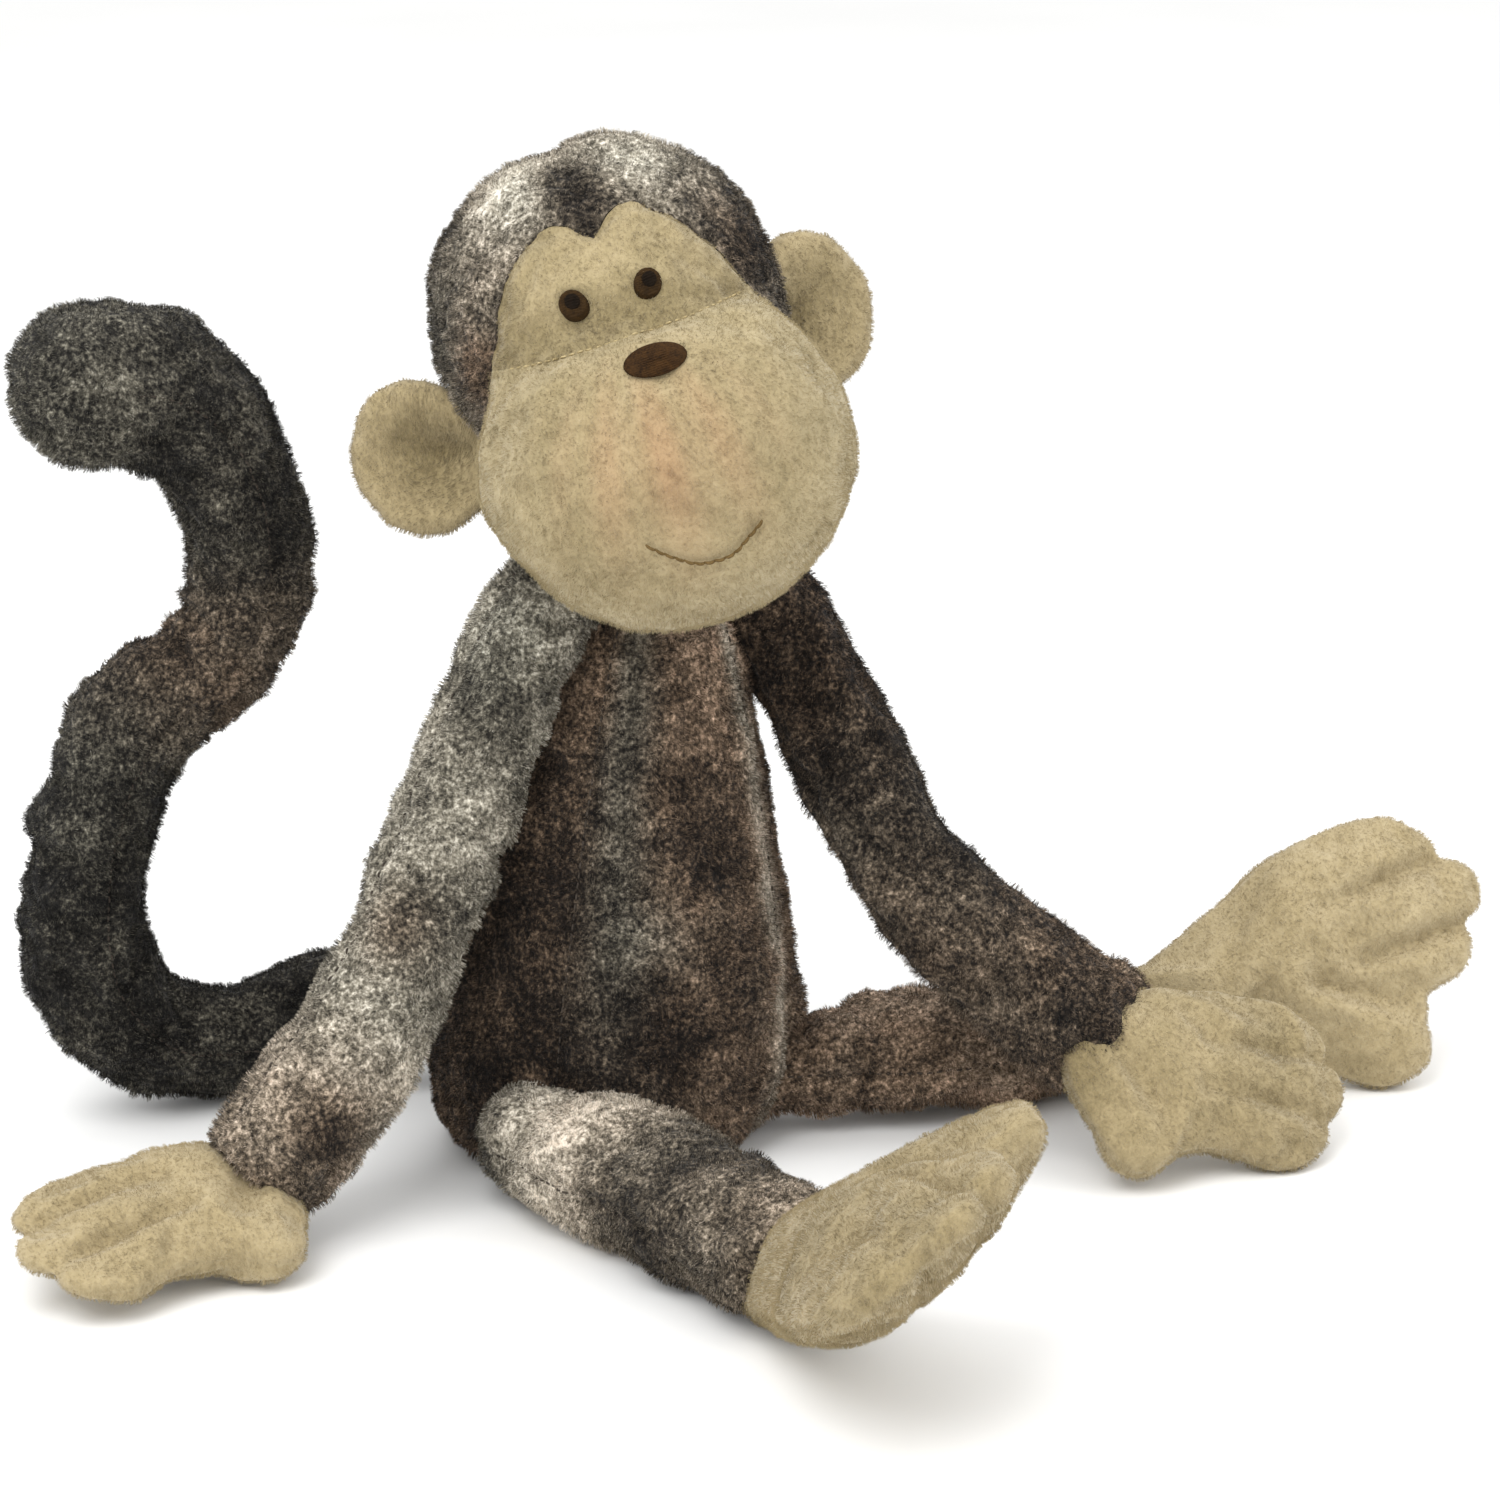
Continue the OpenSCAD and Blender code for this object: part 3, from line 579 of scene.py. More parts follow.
def stitches(name, points, outward, body, thread=GREY_THREAD, pitch=2.6, length=1.7, r=0.28, lift=0.0,
             slant=0.0):
    """A row of separate thread stitches along a line on the fabric."""
    points, outward = np.asarray(points, float), unit(np.asarray(outward, float))
    along = lengths(points)
    count = max(2, int(along[-1] / pitch))
    rings, sides = 5, 6
    pts, faces = [], []
    for c in (np.arange(count) + 0.5) * along[-1] / count:
        ends = []
        for k in np.linspace(-0.5, 0.5, rings):
            o = unit(resampled(outward, along, c + k * length))
            arch = r * 0.9 * (1 - (2 * k) ** 2)
            ends.append((resampled(points, along, c + k * length) + o * (lift + arch), o))
        t = unit(ends[-1][0] - ends[0][0])
        base = len(pts)
        for i, (p, o) in enumerate(ends):
            w = unit(np.cross(t, o))
            rr = r * (0.55 if i in (0, rings - 1) else 1.0)
            p = p + w * slant * (i - 2)
            for a in np.arange(sides) * math.pi / 3:
                pts.append(p + w * rr * math.cos(a) + o * rr * math.sin(a))
        faces += [tuple(base + i for i in f) for f in quads(rings, sides, True)]
        faces.append(tuple(base + a for a in range(sides))[::-1])
        faces.append(tuple(base + (rings - 1) * sides + a for a in range(sides)))
    o = mesh_object(name, pts, faces)
    o.data.materials.append(thread)
    if body:
        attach(o, body)
    return o


# ------------------------------------------------------------------ torso

# height, half width and half depth
TORSO_ROWS = np.array([[0.5, 34, 30], [2.5, 39, 34.5], [7, 43.5, 38], [14, 45.8, 39.8], [24, 46.8, 40.8],
                       [36, 46.6, 40.6], [50, 45, 39], [65, 42, 36.8], [80, 39, 34.2], [95, 35.6, 31],
                       [110, 31.6, 28], [122, 28.5, 25], [133, 25, 22.5], [142, 21.5, 20], [150, 17.5, 17.5]])
LEAN = V(0.05, -0.055)     # how far the torso leans for each millimetre of height
FRONT_EDGE = 45            # degrees from the front to the front panel's seams
TORSO_SEAMS = {"right": -FRONT_EDGE, "left": FRONT_EDGE, "back": 180}
TORSO_GROOVE, SEAM_WIDTH = 1.3, 2.8
DEEPEST_DIP = 1.1          # no fabric dips further than this, so that the bag of pellets stays inside
TORSO_LOWEST = 0.35        # the torso's panels end this high, and the seat lies under them


def torso_surface(z, a):
    w = np.interp(z, TORSO_ROWS[:, 0], TORSO_ROWS[:, 1])
    d = np.interp(z, TORSO_ROWS[:, 0], TORSO_ROWS[:, 2])
    P = np.stack([z * LEAN[0] + w * np.sin(a), z * LEAN[1] - d * np.cos(a), z], -1)
    P[..., 1] -= bump(z - 30, 26) * (1.2 * np.cos(a) ** 2)     # the belly sags
    return P, unit(np.stack([np.sin(a) / w, -np.cos(a) / d, 0 * z], -1))


def torso_line(z, angle):
    return torso_surface(z, np.full_like(z, math.radians(angle)))


TORSO_HEIGHTS = curve(TORSO_ROWS, 90)[:, 0]
rim_angles = np.radians(np.arange(0, 360, 2.0))
torso_seams = np.vstack([torso_line(np.linspace(1, 149, 150), angle)[0] for angle in TORSO_SEAMS.values()]
                        + [torso_surface(np.full_like(rim_angles, TORSO_ROWS[0, 0]), rim_angles)[0]])
zz, an = np.meshgrid(TORSO_HEIGHTS, np.radians(np.arange(0, 360, 3.0)), indexing="ij")
torso_puff = Puff(*closed([(torso_surface(zz, an)[0], True, True)]), torso_seams, voxel=5, cap=2.4)
torso_dist = seam_distance(torso_seams)


def above_pouch(P, smooth, out):
    dip = ((P - smooth) * out).sum(-1)
    return P + out * np.maximum(-DEEPEST_DIP - dip, 0)[..., None]


def torso_fabric(a0, a1, n):
    z, a = np.meshgrid(TORSO_HEIGHTS, np.radians(np.linspace(a0, a1, n)), indexing="ij")
    smooth, out = torso_surface(z, a)
    P = pulled_in(torso_puff(smooth), out, torso_dist, TORSO_GROOVE, SEAM_WIDTH)
    keep = np.clip(z / 6, 0, 1) * np.clip((150 - z) / 10, 0, 1)
    P = P + out * (keep * (0.9 * wobble(P, 34, 11) + 0.55 * wobble(P, 15, 12)))[..., None]
    # folds that run out from each thigh
    for hip, turn in (("hip_right", 1.0), ("hip_left", -1.0)):
        d = np.linalg.norm(P - HINGE[hip], axis=-1)
        ripple = np.sin((P[..., 0] * 0.55 + P[..., 2] * 0.5 * turn) / 3.1)
        P = P + out * (keep * 0.9 * bump(d - 20, 14) * ripple)[..., None]
    P = above_pouch(P, smooth, out)
    P[..., 2] = np.maximum(P[..., 2], TORSO_LOWEST)
    return P, out, z, a


def torso_tone(P, z, a):
    """How light and how brown: darker low on the right, which is painted shade where the right arm's shadow
    falls, and lighter and greyer along the left seam.
    """
    s, c = np.sin(a), np.cos(a)
    band, middle = bump(a - math.radians(40), 0.16), a + math.radians(28)
    tone = 0.35 + 0.11 * s + 0.14 * bump(z - 137, 26)
    # painted shade: the fabric low on the right side is darker where the right arm's shadow falls
    tone = tone - 0.065 * bump(z - 25, 30) * np.clip(-s * 1.3 + 0.2, 0, 1) - 0.005 * bump(z - 20, 22)
    tone = tone + 0.34 * band * np.clip(z / 40, 0, 1) * np.clip((135 - z) / 50, 0.2, 1)
    tone = tone + 0.05 * bump(z - 130, 20) * np.clip(-s, 0, 1)
    tone = np.where(c < 0.2, np.maximum(tone, 0.28 + 0.1 * wobble(P, 50, 3)), tone)
    grey = band + bump(a + math.radians(30), 0.24) * np.clip(z / 60, 0, 1)
    return tone + 0.07 * bump(middle, 0.3) * bump(z - 90, 30), 1.0 - 0.75 * grey


TORSO_PANELS = {"torso_front": (-FRONT_EDGE, FRONT_EDGE, 56), "torso_back_left": (FRONT_EDGE, 180, 76),
                "torso_back_right": (180, 360 - FRONT_EDGE, 76)}
for name, (a0, a1, n) in TORSO_PANELS.items():
    P, out, z, a = torso_fabric(a0, a1, n)
    a = np.where(a > math.pi, a - 2 * math.pi, a)
    tone, brown = torso_tone(P, z, a)
    o = grid_piece("plush_" + name, P, out, "fur", "charcoal_plush", tone, brown)
    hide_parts(name, *(["torso_stuffing"] if name == "torso_front" else []))
    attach(o, "torso")

# the seat: a flat oval, turned up at its sewn edge, with no pile under it
k, a = np.meshgrid(np.linspace(0.02, 1, 18), np.radians(np.arange(0, 360, 4.0)), indexing="ij")
P = torso_surface(np.full_like(a, TORSO_ROWS[0, 0]), a)[0] * k[..., None]
P[..., 2] = np.where(k > 0.9, 0.05 + (k - 0.9) * 8, 0.05)
o = grid_piece("plush_seat", P, np.broadcast_to(V(0, 0, -1), P.shape), "fur", "charcoal_plush", 0.2, 0.6,
               wrap=True, pile=False)
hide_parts("torso_seat")
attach(o, "torso")

for side, angle in TORSO_SEAMS.items():
    smooth, out = torso_line(np.linspace(4, 146, 90), angle)
    P = above_pouch(pulled_in(torso_puff(smooth), out, torso_dist, TORSO_GROOVE, SEAM_WIDTH), smooth, out)
    stitches("stitches_torso_" + side, P, out, "torso")

# ------------------------------------------------------------------ head

HEAD_AT = V(-4, -10, 217.5)
TILT, TURN, LOOK = (math.radians(x) for x in (16.5, 18, 8))
HEAD = np.array(
    Matrix.Rotation(-TURN, 3, "Z") @ Matrix.Rotation(-TILT, 3, "Y") @ Matrix.Rotation(-LOOK, 3, "X"))
RAY_START = V(0, -10, -16)      # longitude 0 is ahead and latitude 90 is up, as seen from here
SKULL = (V(0, 0, 0), V(42.2, 42, 43))
MUZZLE = (V(0, -25, -35.5), V(45.5, 41, 41.5))
DOWN = HEAD.T @ unit(V(0, 0.5, -0.865))      # where the head rests on the neck
NECK_CUT = 35.3                              # how far that way its flat place is
SEAM_LAT, LOW_LAT = 21.0, -89.0
HEAD_SEAM_WIDTH = 2.3


def leaves(d, ball):
    """How far from the start a ray leaves a ball that is stretched along its axes."""
    o, d = (RAY_START - ball[0]) / ball[1], d / ball[1]
    a, b, c = (d * d).sum(-1), (o * d).sum(-1), (o * o).sum() - 1
    return (-b + np.sqrt(b * b - a * c)) / a


def ray(lon, lat):
    lo, la = np.radians(lon), np.radians(lat)
    return np.stack([np.sin(lo) * np.cos(la), -np.cos(lo) * np.cos(la), np.sin(la)], -1)


def head_local(lon, lat, lift):
    """Skull and muzzle in one smooth shape, cut flatter over the neck."""
    d = ray(lon, lat)
    both = (leaves(d, SKULL) ** 9 + leaves(d, MUZZLE) ** 9) ** (1 / 9) * 0.985
    down = d @ DOWN
    flat = NECK_CUT / np.maximum(down, 0.05)
    r = np.where(down > 0.05, (both ** -12 + flat ** -12) ** (-1 / 12), both)
    # brow and eye hollow over the muzzle seam, and cheeks that swell below it
    r = r - 1.6 * bump(lat - 27, 7) * bump(lon, 40) + 1.2 * bump(lat - 4, 12) * bump(np.abs(lon) - 30, 26)
    r = r + 0.8 * bump(lat - 44, 9) * bump(np.abs(lon) - 20, 16)
    return RAY_START + d * (r + lift)[..., None]


def head_at(lon, lat, lift=0.0):
    lon, lat, lift = np.broadcast_arrays(*(np.asarray(x, float) for x in (lon, lat, lift)))
    return head_local(lon, lat, lift) @ HEAD.T + HEAD_AT, ray(lon, lat) @ HEAD.T


# the cream face, in degrees from its middle: its upper edge, then how far the muzzle reaches aside
FACE_SHIFT, FACE_HALF, BROW_LAT = -2.5, 64, 56
TOP_EDGE = np.array([[0, BROW_LAT], [5, 58.2], [12, 60.8], [22, 62], [32, 61], [41, 57], [48, 50.5], [54, 42],
                     [59, 32], [62, 25], [FACE_HALF, SEAM_LAT]])
SIDE_EDGE = np.array([[LOW_LAT, 100], [-60, 93], [-30, 84], [-5, 77], [8, 71], [SEAM_LAT, FACE_HALF]])


def top_lat(off):
    return np.interp(np.abs(off), TOP_EDGE[:, 0], TOP_EDGE[:, 1])


def side_off(lat):
    return np.interp(lat, SIDE_EDGE[:, 0], SIDE_EDGE[:, 1])


face_off = FACE_HALF * np.sin(np.linspace(-math.pi / 2, math.pi / 2, 67))
muzzle_lat = np.concatenate([np.linspace(LOW_LAT, -66, 10)[:-1], np.linspace(-66, SEAM_LAT, 46)])
back_lat, crown_lat = np.linspace(-80, 89, 90), np.linspace(57, 89, 16)
head_seams = []
for lon, lat in ((face_off + FACE_SHIFT, top_lat(face_off)),
                 (face_off + FACE_SHIFT, SEAM_LAT),
                 (FACE_SHIFT - side_off(muzzle_lat), muzzle_lat),
                 (FACE_SHIFT + side_off(muzzle_lat), muzzle_lat),
                 (180, back_lat),
                 (FACE_SHIFT, crown_lat)):
    line = head_at(lon, lat)[0]
    head_seams.append(resampled(line, np.arange(len(line)), np.linspace(0, len(line) - 1, len(line) * 3)))
head_seams = np.vstack(head_seams)
head_dist = seam_distance(head_seams)
la, lo = np.meshgrid(np.linspace(-88, 88, 60), np.arange(-180, 180, 4.0), indexing="ij")
head_puff = Puff(*closed([(head_at(lo, la)[0], True, True)]), head_seams, voxel=4.5, cap=1.8)


def head_wobble(P, rough):
    return (rough * wobble(P, 22, 21) + 0.3 * wobble(P, 9, 22))[..., None]


def head_fabric(lon, lat, rough):
    P, out = head_at(lon, lat)
    P = pulled_in(head_puff(P), out, head_dist, np.where(lat > 60, 0.75, 1.4), HEAD_SEAM_WIDTH)
    return P + out * head_wobble(P, rough), out


# heart-shaped face, with its widow's peak
t = np.linspace(0, 1, 34)[:, None]
off = np.broadcast_to(face_off[None], (34, 67))
lat = SEAM_LAT + (top_lat(face_off)[None] - SEAM_LAT) * t
P, out = head_fabric(off + FACE_SHIFT, lat, 0.3)
# painted shade: the middle of the face is darker just above the muzzle seam, in the eye hollow
shade = 0.50 - 0.20 * bump(lat - 26, 7) * bump(off, 45) + 0.06 * bump(lat - 50, 12)
shade = shade - 0.1 * bump(np.abs(off) - 58, 12)
o = grid_piece("plush_face", P, out, "cream", "cream_plush", shade, 0.05)
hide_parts("face_panel", "head_stuffing")
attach(o, "head")

# the muzzle, from the seam over the nose to under the chin
lat = np.broadcast_to(muzzle_lat[:, None], (len(muzzle_lat), 67))
off = face_off[None] / FACE_HALF * side_off(muzzle_lat)[:, None]
P, out = head_fabric(off + FACE_SHIFT, lat, 0.5)
# painted shade: the muzzle is darker at its very bottom, under the chin where it meets the neck
shade = 0.555 + 0.04 * bump(lat + 10, 30) + 0.26 * bump(lat + 55, 18) - 0.2 * bump(lat + 88, 16)
blush = 0.95 * bump(lat + 14, 20) * bump(off + 3, 22) * (0.65 + 0.35 * np.sin((off + 0.5) * 1.25))
o = grid_piece("plush_muzzle", P, out, "cream", "cream_plush", shade, blush)
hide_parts("muzzle_panel")
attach(o, "head")

# where on the cap (lon, lat), how wide in degrees, change in lightness and in brownness
CAP_PATCHES = [((62, 70), 16, 0.28, -0.3), ((-56, 73), 15, 0.33, -0.3), ((-14, 78), 7, -0.24, 0.3),
               ((-4, 66), 8, -0.24, 0.3), ((71, 34), 16, -0.16, 0.3), ((78, 56), 10, 0.06, 0.0),
               ((-66, 52), 10, 0.06, 0.0), ((-72, 20), 12, -0.02, 0.9), ((-98, 32), 18, -0.02, -0.2),
               ((180, 40), 40, 0.08, 0.0), ((150, -10), 30, -0.08, 0.3)]

# the cap, in two halves that meet along the crown and down the back, on the face's own columns
PAST_FACE = FACE_HALF + 1e-4
SIDE_REACH = SIDE_EDGE[0, 1]
for side, sgn in (("left", 1), ("right", -1)):
    beside_face = sorted(abs(x) for x in face_off if x * sgn > 1e-6)
    beside_muzzle = sorted(x for x in set(round(float(side_off(x)), 6) for x in muzzle_lat) if x > PAST_FACE)
    offs = np.array([0.0] + beside_face + beside_muzzle + list(np.arange(SIDE_REACH + 3, 180, 3.0)))
    bottoms = np.where(offs <= PAST_FACE, top_lat(offs), np.where(
        offs <= SIDE_REACH, np.interp(offs, SIDE_EDGE[::-1, 1], SIDE_EDGE[::-1, 0]), LOW_LAT))
    lon = np.append(sgn * offs + FACE_SHIFT, 180.0 * sgn)
    bottoms = np.append(bottoms, LOW_LAT)
    t = np.linspace(0, 1, 74)[:, None]
    lat = bottoms[None] + (89.3 - bottoms[None]) * t
    P, out = head_fabric(np.broadcast_to(lon[None], lat.shape), lat, 0.6)
    tone, brown = 0.44 + 0.05 * wobble(P, 50, 61), 0.35
    for where, wide, lighter, browner in CAP_PATCHES:
        gap = np.degrees(np.arccos(np.clip(ray(lon[None], lat) @ ray(*where), -1, 1)))
        tone, brown = tone + lighter * bump(gap, wide), brown + browner * bump(gap, wide)
    o = grid_piece("plush_cap_" + side, P, out, "fur", "grey_plush", tone, brown)
    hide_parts("head_cap_" + side)
    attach(o, "head")


def on_head_line(name, lon, lat, thread, **kw):
    P, out = head_at(lon, lat)
    stitches(name, pulled_in(head_puff(P), out, head_dist, 1.5, HEAD_SEAM_WIDTH), out, "head", thread, **kw)


on_head_line("stitches_muzzle", face_off + FACE_SHIFT, SEAM_LAT, CREAM_THREAD, pitch=2.2)
on_head_line("stitches_face_edge", face_off + FACE_SHIFT, top_lat(face_off), GREY_THREAD, pitch=2.4)
on_head_line("stitches_head_back", 180, back_lat, GREY_THREAD)


def embroidered(name, lon, lat, half, dome, thread, node, rows, lift, shape=lambda a: 1.0, turn=0.0):
    """A stitched eye or nose: rows of satin thread laid over a low dome."""
    k, a = np.meshgrid(np.linspace(0.02, 1, rows), np.radians(np.arange(0, 360, 5.0)), indexing="ij")
    x = half[0] * k * np.cos(a) * shape(a)
    y = half[1] * k * np.sin(a) * shape(a)
    x, y = x * math.cos(turn) - y * math.sin(turn), x * math.sin(turn) + y * math.cos(turn)
    here = head_at(lon, lat)[0]
    east = unit(head_at(lon + 1, lat)[0] - here)
    north = unit(head_at(lon, lat + 1)[0] - here)
    target = here + x[..., None] * east + y[..., None] * north
    d = unit((target - HEAD_AT) @ HEAD - RAY_START)
    thread_rows = 0.16 * np.sin(y * 2 * math.pi / 0.62) * (k < 0.97)
    tucked = 1.6 * (k > 0.985)
    h = lift + dome * np.sqrt(np.maximum(1 - k ** 2, 0)) + thread_rows - tucked
    P, out = head_at(np.degrees(np.arctan2(d[..., 0], -d[..., 1])), np.degrees(np.arcsin(d[..., 2])), h)
    middle = tuple(range(P.shape[1]))[::-1]
    faces = quads(P.shape[0], P.shape[1], True) + [middle]
    o = mesh_object(name, P.reshape(-1, 3), faces, out.reshape(-1, 3))
    o.data.materials.append(thread)
    smoothed(o)
    if node:
        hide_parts(node)
    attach(o, "head")


for side, lon, lat in (("left", 12.0, 35.6), ("right", -20.2, 36.2)):
    embroidered("eye_stitched_" + side, lon, lat, (3.5, 3.5), 1.1, EYE_THREAD, "eye_" + side, 18, 0.9)
    embroidered("pupil_stitched_" + side, lon + 0.5, lat + 0.2, (2.0, 2.0), 0.7, PUPIL_THREAD, None, 10, 1.8)
embroidered("nose_stitched", 1.5, 9.0, (7.3, 5.1), 1.9, NOSE_THREAD, "nose", 26, 0.9,
            shape=lambda a: 1 + 0.05 * np.cos(2 * a) - 0.06 * bump(np.sin(a) + 1, 0.5), turn=-0.07)

SMILE = [[-15.5, -30], [-11.5, -33.4], [-6, -36.8], [-0.5, -38.2], [4.5, -37.8], [9, -36], [13.5, -33]]
smile = curve(SMILE, 60)
P, out = head_at(smile[:, 0], smile[:, 1])
P = head_puff(P) + out * head_wobble(P, 0.5)
o = stitches("mouth_stitched", P, out, "head", MOUTH_THREAD, pitch=2.3, length=2.6, r=0.42, lift=1.0,
             slant=0.05)
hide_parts("mouth_stitch")

# ------------------------------------------------------------------ pillows: ears, hands and feet

class Pillow:
    """Two sewn faces over an outline. u runs ahead, v aside, w through the thickness."""

    def __init__(self, outline, mid, rise, at, ahead, aside, taper=0.0, channels=(), power=2.4, dish=0.0,
                 bend=0.0, n=120, rings=30, cap=1.6, size=1.0):
        self.u = unit(V(*ahead))
        self.w = unit(np.cross(self.u, V(*aside)))
        self.v = np.cross(self.w, self.u)
        self.at, self.mid, self.rise, self.taper = V(*at), V(*mid), rise, taper
        self.channels, self.power, self.dish, self.bend, self.size = channels, power, dish, bend, size
        self.edge = loop(outline, n)
        self.k = np.sin(np.linspace(math.pi / 2, 0.02, rings))     # 1 at the seam, 0 at the middle
        self.uv = self.mid + (self.edge[None] - self.mid) * self.k[:, None, None]
        seam = self.place(self.edge, 0 * self.edge[:, 0])
        faces = [(self.raw(side), True, False) for side in (1, -1)]
        self.puff = Puff(*closed(faces), seam, voxel=3.2, cap=cap)
        self.dist = seam_distance(seam)

    def place(self, uv, h):
        lift = h + self.bend * (uv[..., 0] / 50) ** 2
        flat = uv[..., 0:1] * self.u + uv[..., 1:2] * self.v
        return self.at + self.size * (flat + lift[..., None] * self.w)

    def raw(self, side):
        """The face before it is filled, with the channels sewn between fingers or toes."""
        k = self.k[:, None]
        h = self.rise * (1 - self.taper * self.uv[..., 0]) * np.maximum(1 - k ** self.power, 0) ** 0.5
        for a, b, depth, width in self.channels:
            a, b = V(*a), V(*b)
            t = np.clip(((self.uv - a) @ (b - a)) / ((b - a) @ (b - a)), 0, 1)
            d = np.linalg.norm(self.uv - (a + t[..., None] * (b - a)), axis=-1)
            h = h * (1 - depth * bump(d, width) * np.clip(0.35 + t, 0, 1))
        if side > 0:
            h = h - self.dish * bump(k, 0.62)
        return self.place(self.uv, side * h)

    def fabric(self, side):
        k, away = self.k[:, None, None], self.uv - self.mid
        out = side * self.w * np.sqrt(np.maximum(1 - k ** 2, 0)) + unit(
            away[..., 0:1] * self.u + away[..., 1:2] * self.v) * k
        out = unit(out)
        P = pulled_in(self.puff(self.raw(side)), out, self.dist, 0.7, 1.8, 0.35)
        return P + out * (0.4 * wobble(P, 18, 31) + 0.16 * wobble(P, 7, 32))[..., None], out


def pillow_pieces(body, pillow, halves, up, tone, filled=True):
    """The two faces of a pillow; the first one also stands for the filling."""
    for half, side in zip(halves, (up, -up)):
        P, out = pillow.fabric(side)
        P[..., 2] = np.maximum(P[..., 2], FLOOR_GAP)
        middle = P[-1].mean(0)
        P = np.concatenate([P, middle + (P[-1:] - middle) * 0.05], 0)     # one more ring shuts the middle
        out, level = (np.concatenate([x, x[-1:]], 0) for x in (out, tone(pillow.uv, side)))
        o = grid_piece("plush_%s_%s" % (body, half), P, out, "cream", "cream_plush", level, 0.08, wrap=True)
        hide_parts(body + "_" + half, *([body + "_stuffing"] if filled and half == halves[0] else []))
        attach(o, body)


EAR_OUTLINE = [[-3, -8], [5, -15], [17, -18.8], [28, -14.5], [34, 0], [28, 14.5], [17, 18.8], [5, 15],
               [-3, 8]]
EAR_CHANNELS = (((-4, 0), (9, 0), 0.45, 4.0),)
EAR_MIDDLE = V(12, 0)
# side: which way it points, place on the head, size, lightness
EARS = {"left": (1, V(32.5, 4, -18.5), 1.1, 0.57), "right": (-1, V(-37.5, 4, -21.5), 1.05, 0.60)}
for side, (sgn, at, size, light) in EARS.items():
    ear = Pillow(EAR_OUTLINE, (15, 0), 6.0, HEAD_AT + HEAD @ at, HEAD @ unit(V(sgn, 0.45, 0.1)),
                 HEAD @ V(0, 0, sgn), channels=EAR_CHANNELS, power=2.6, dish=5.2, n=84, rings=22, cap=1.0,
                 size=size)
    # painted shade: the front of each ear is darker in its cupped middle
    pillow_pieces("ear_" + side, ear, ("front", "back"), 1, lambda uv, face: (
        light - 0.24 * (face > 0) * bump(np.linalg.norm(uv - EAR_MIDDLE, axis=-1), 11)), filled=False)

# channels: from, to, depth as a share of the thickness, width
HAND_OUTLINE = [[-9, -11], [6, -17], [24, -21], [44, -22], [57, -19], [63.5, -13], [64, -7.5], [67.5, -4.5],
                [69.5, 1], [67.5, 6], [65, 9], [64.5, 14], [60, 20], [50, 24], [36, 22], [22, 24], [14, 31],
                [4, 30], [-3, 21], [-9, 11], [-13, 0]]
HAND_CHANNELS = (((26, 7), (64, 8.5), 0.5, 2.8), ((26, -6), (63, -7.5), 0.5, 2.8),
                 ((16, 17), (6, 6), 0.3, 4.0))
FOOT_OUTLINE = [[-9, -11], [4, -15], [22, -19], [44, -25], [66, -27], [80, -23.5], [88, -16], [89.5, -9.5],
                [94, -6], [97, 0], [94.5, 6.5], [89.5, 10], [88.5, 16], [83, 22], [73, 24.5], [69, 32],
                [65, 42], [52, 44], [38, 34], [22, 22], [6, 17], [-9, 12], [-14, 0]]
FOOT_CHANNELS = (((56, 10), (88, 9), 0.5, 3.0), ((54, -7), (86, -9), 0.5, 3.0),
                 ((66, 25), (46, 12), 0.4, 4.0))


def cream_tone(base):
    # painted shade: darker at the wrist or ankle end, where the hand or foot runs in under the arm or leg
    return lambda uv, face: base + 0.05 * np.sin(uv[..., 0] / 9) - 0.22 * bump(uv[..., 0] + 12, 10)


# side: wrist, direction of the fingers, direction of the thumb, which face is the back, size, lightness
HANDS = {
    "left": ((95.5, -84.5, 31), (91, -29, -23), (-37, -54, -76), -1, 0.985, 0.54),
    "right": ((-109, -21.5, 15.8), (-98, -16, -4), (18, -94, -29), 1, 0.95, 0.68),
}
for side, (at, ahead, aside, up, size, light) in HANDS.items():
    hand = Pillow(HAND_OUTLINE, (26, 0), 11.5, at, ahead, aside, 0.006, HAND_CHANNELS, bend=1.0, size=size)
    pillow_pieces("hand_" + side, hand, ("back", "palm"), up, cream_tone(light))

# the same for the feet, then how much the ankle narrows and how deep the toe channels are
FEET = {
    "left": ((143, -37, 20), (86, -38, 34), (12, -51, -85), -1, 0.99, 0.74, 0.3, 1.15),
    "right": ((-21, -131, 14.5), (-11, -88, 47), (87, 14, 46), 1, 1.05, 0.46, 0.0, 0.5),
}
for side, (at, ahead, aside, up, size, light, narrow, deep) in FEET.items():
    outline = [[u, v * (1 - narrow * bump(u - 4, 20))] for u, v in FOOT_OUTLINE]
    channels = [(a, b, depth * deep, width) for a, b, depth, width in FOOT_CHANNELS]
    foot = Pillow(outline, (48, 4), 15.0, at, ahead, aside, 0.004, channels, bend=0.5, size=size)
    pillow_pieces("foot_" + side, foot, ("top", "sole"), up, cream_tone(light))

# ------------------------------------------------------------------ limbs and tail

def bent(o, body_a, body_b, start, end):
    tuple(V(*start) * MM)
    tuple(V(*end) * MM)
    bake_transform(o)


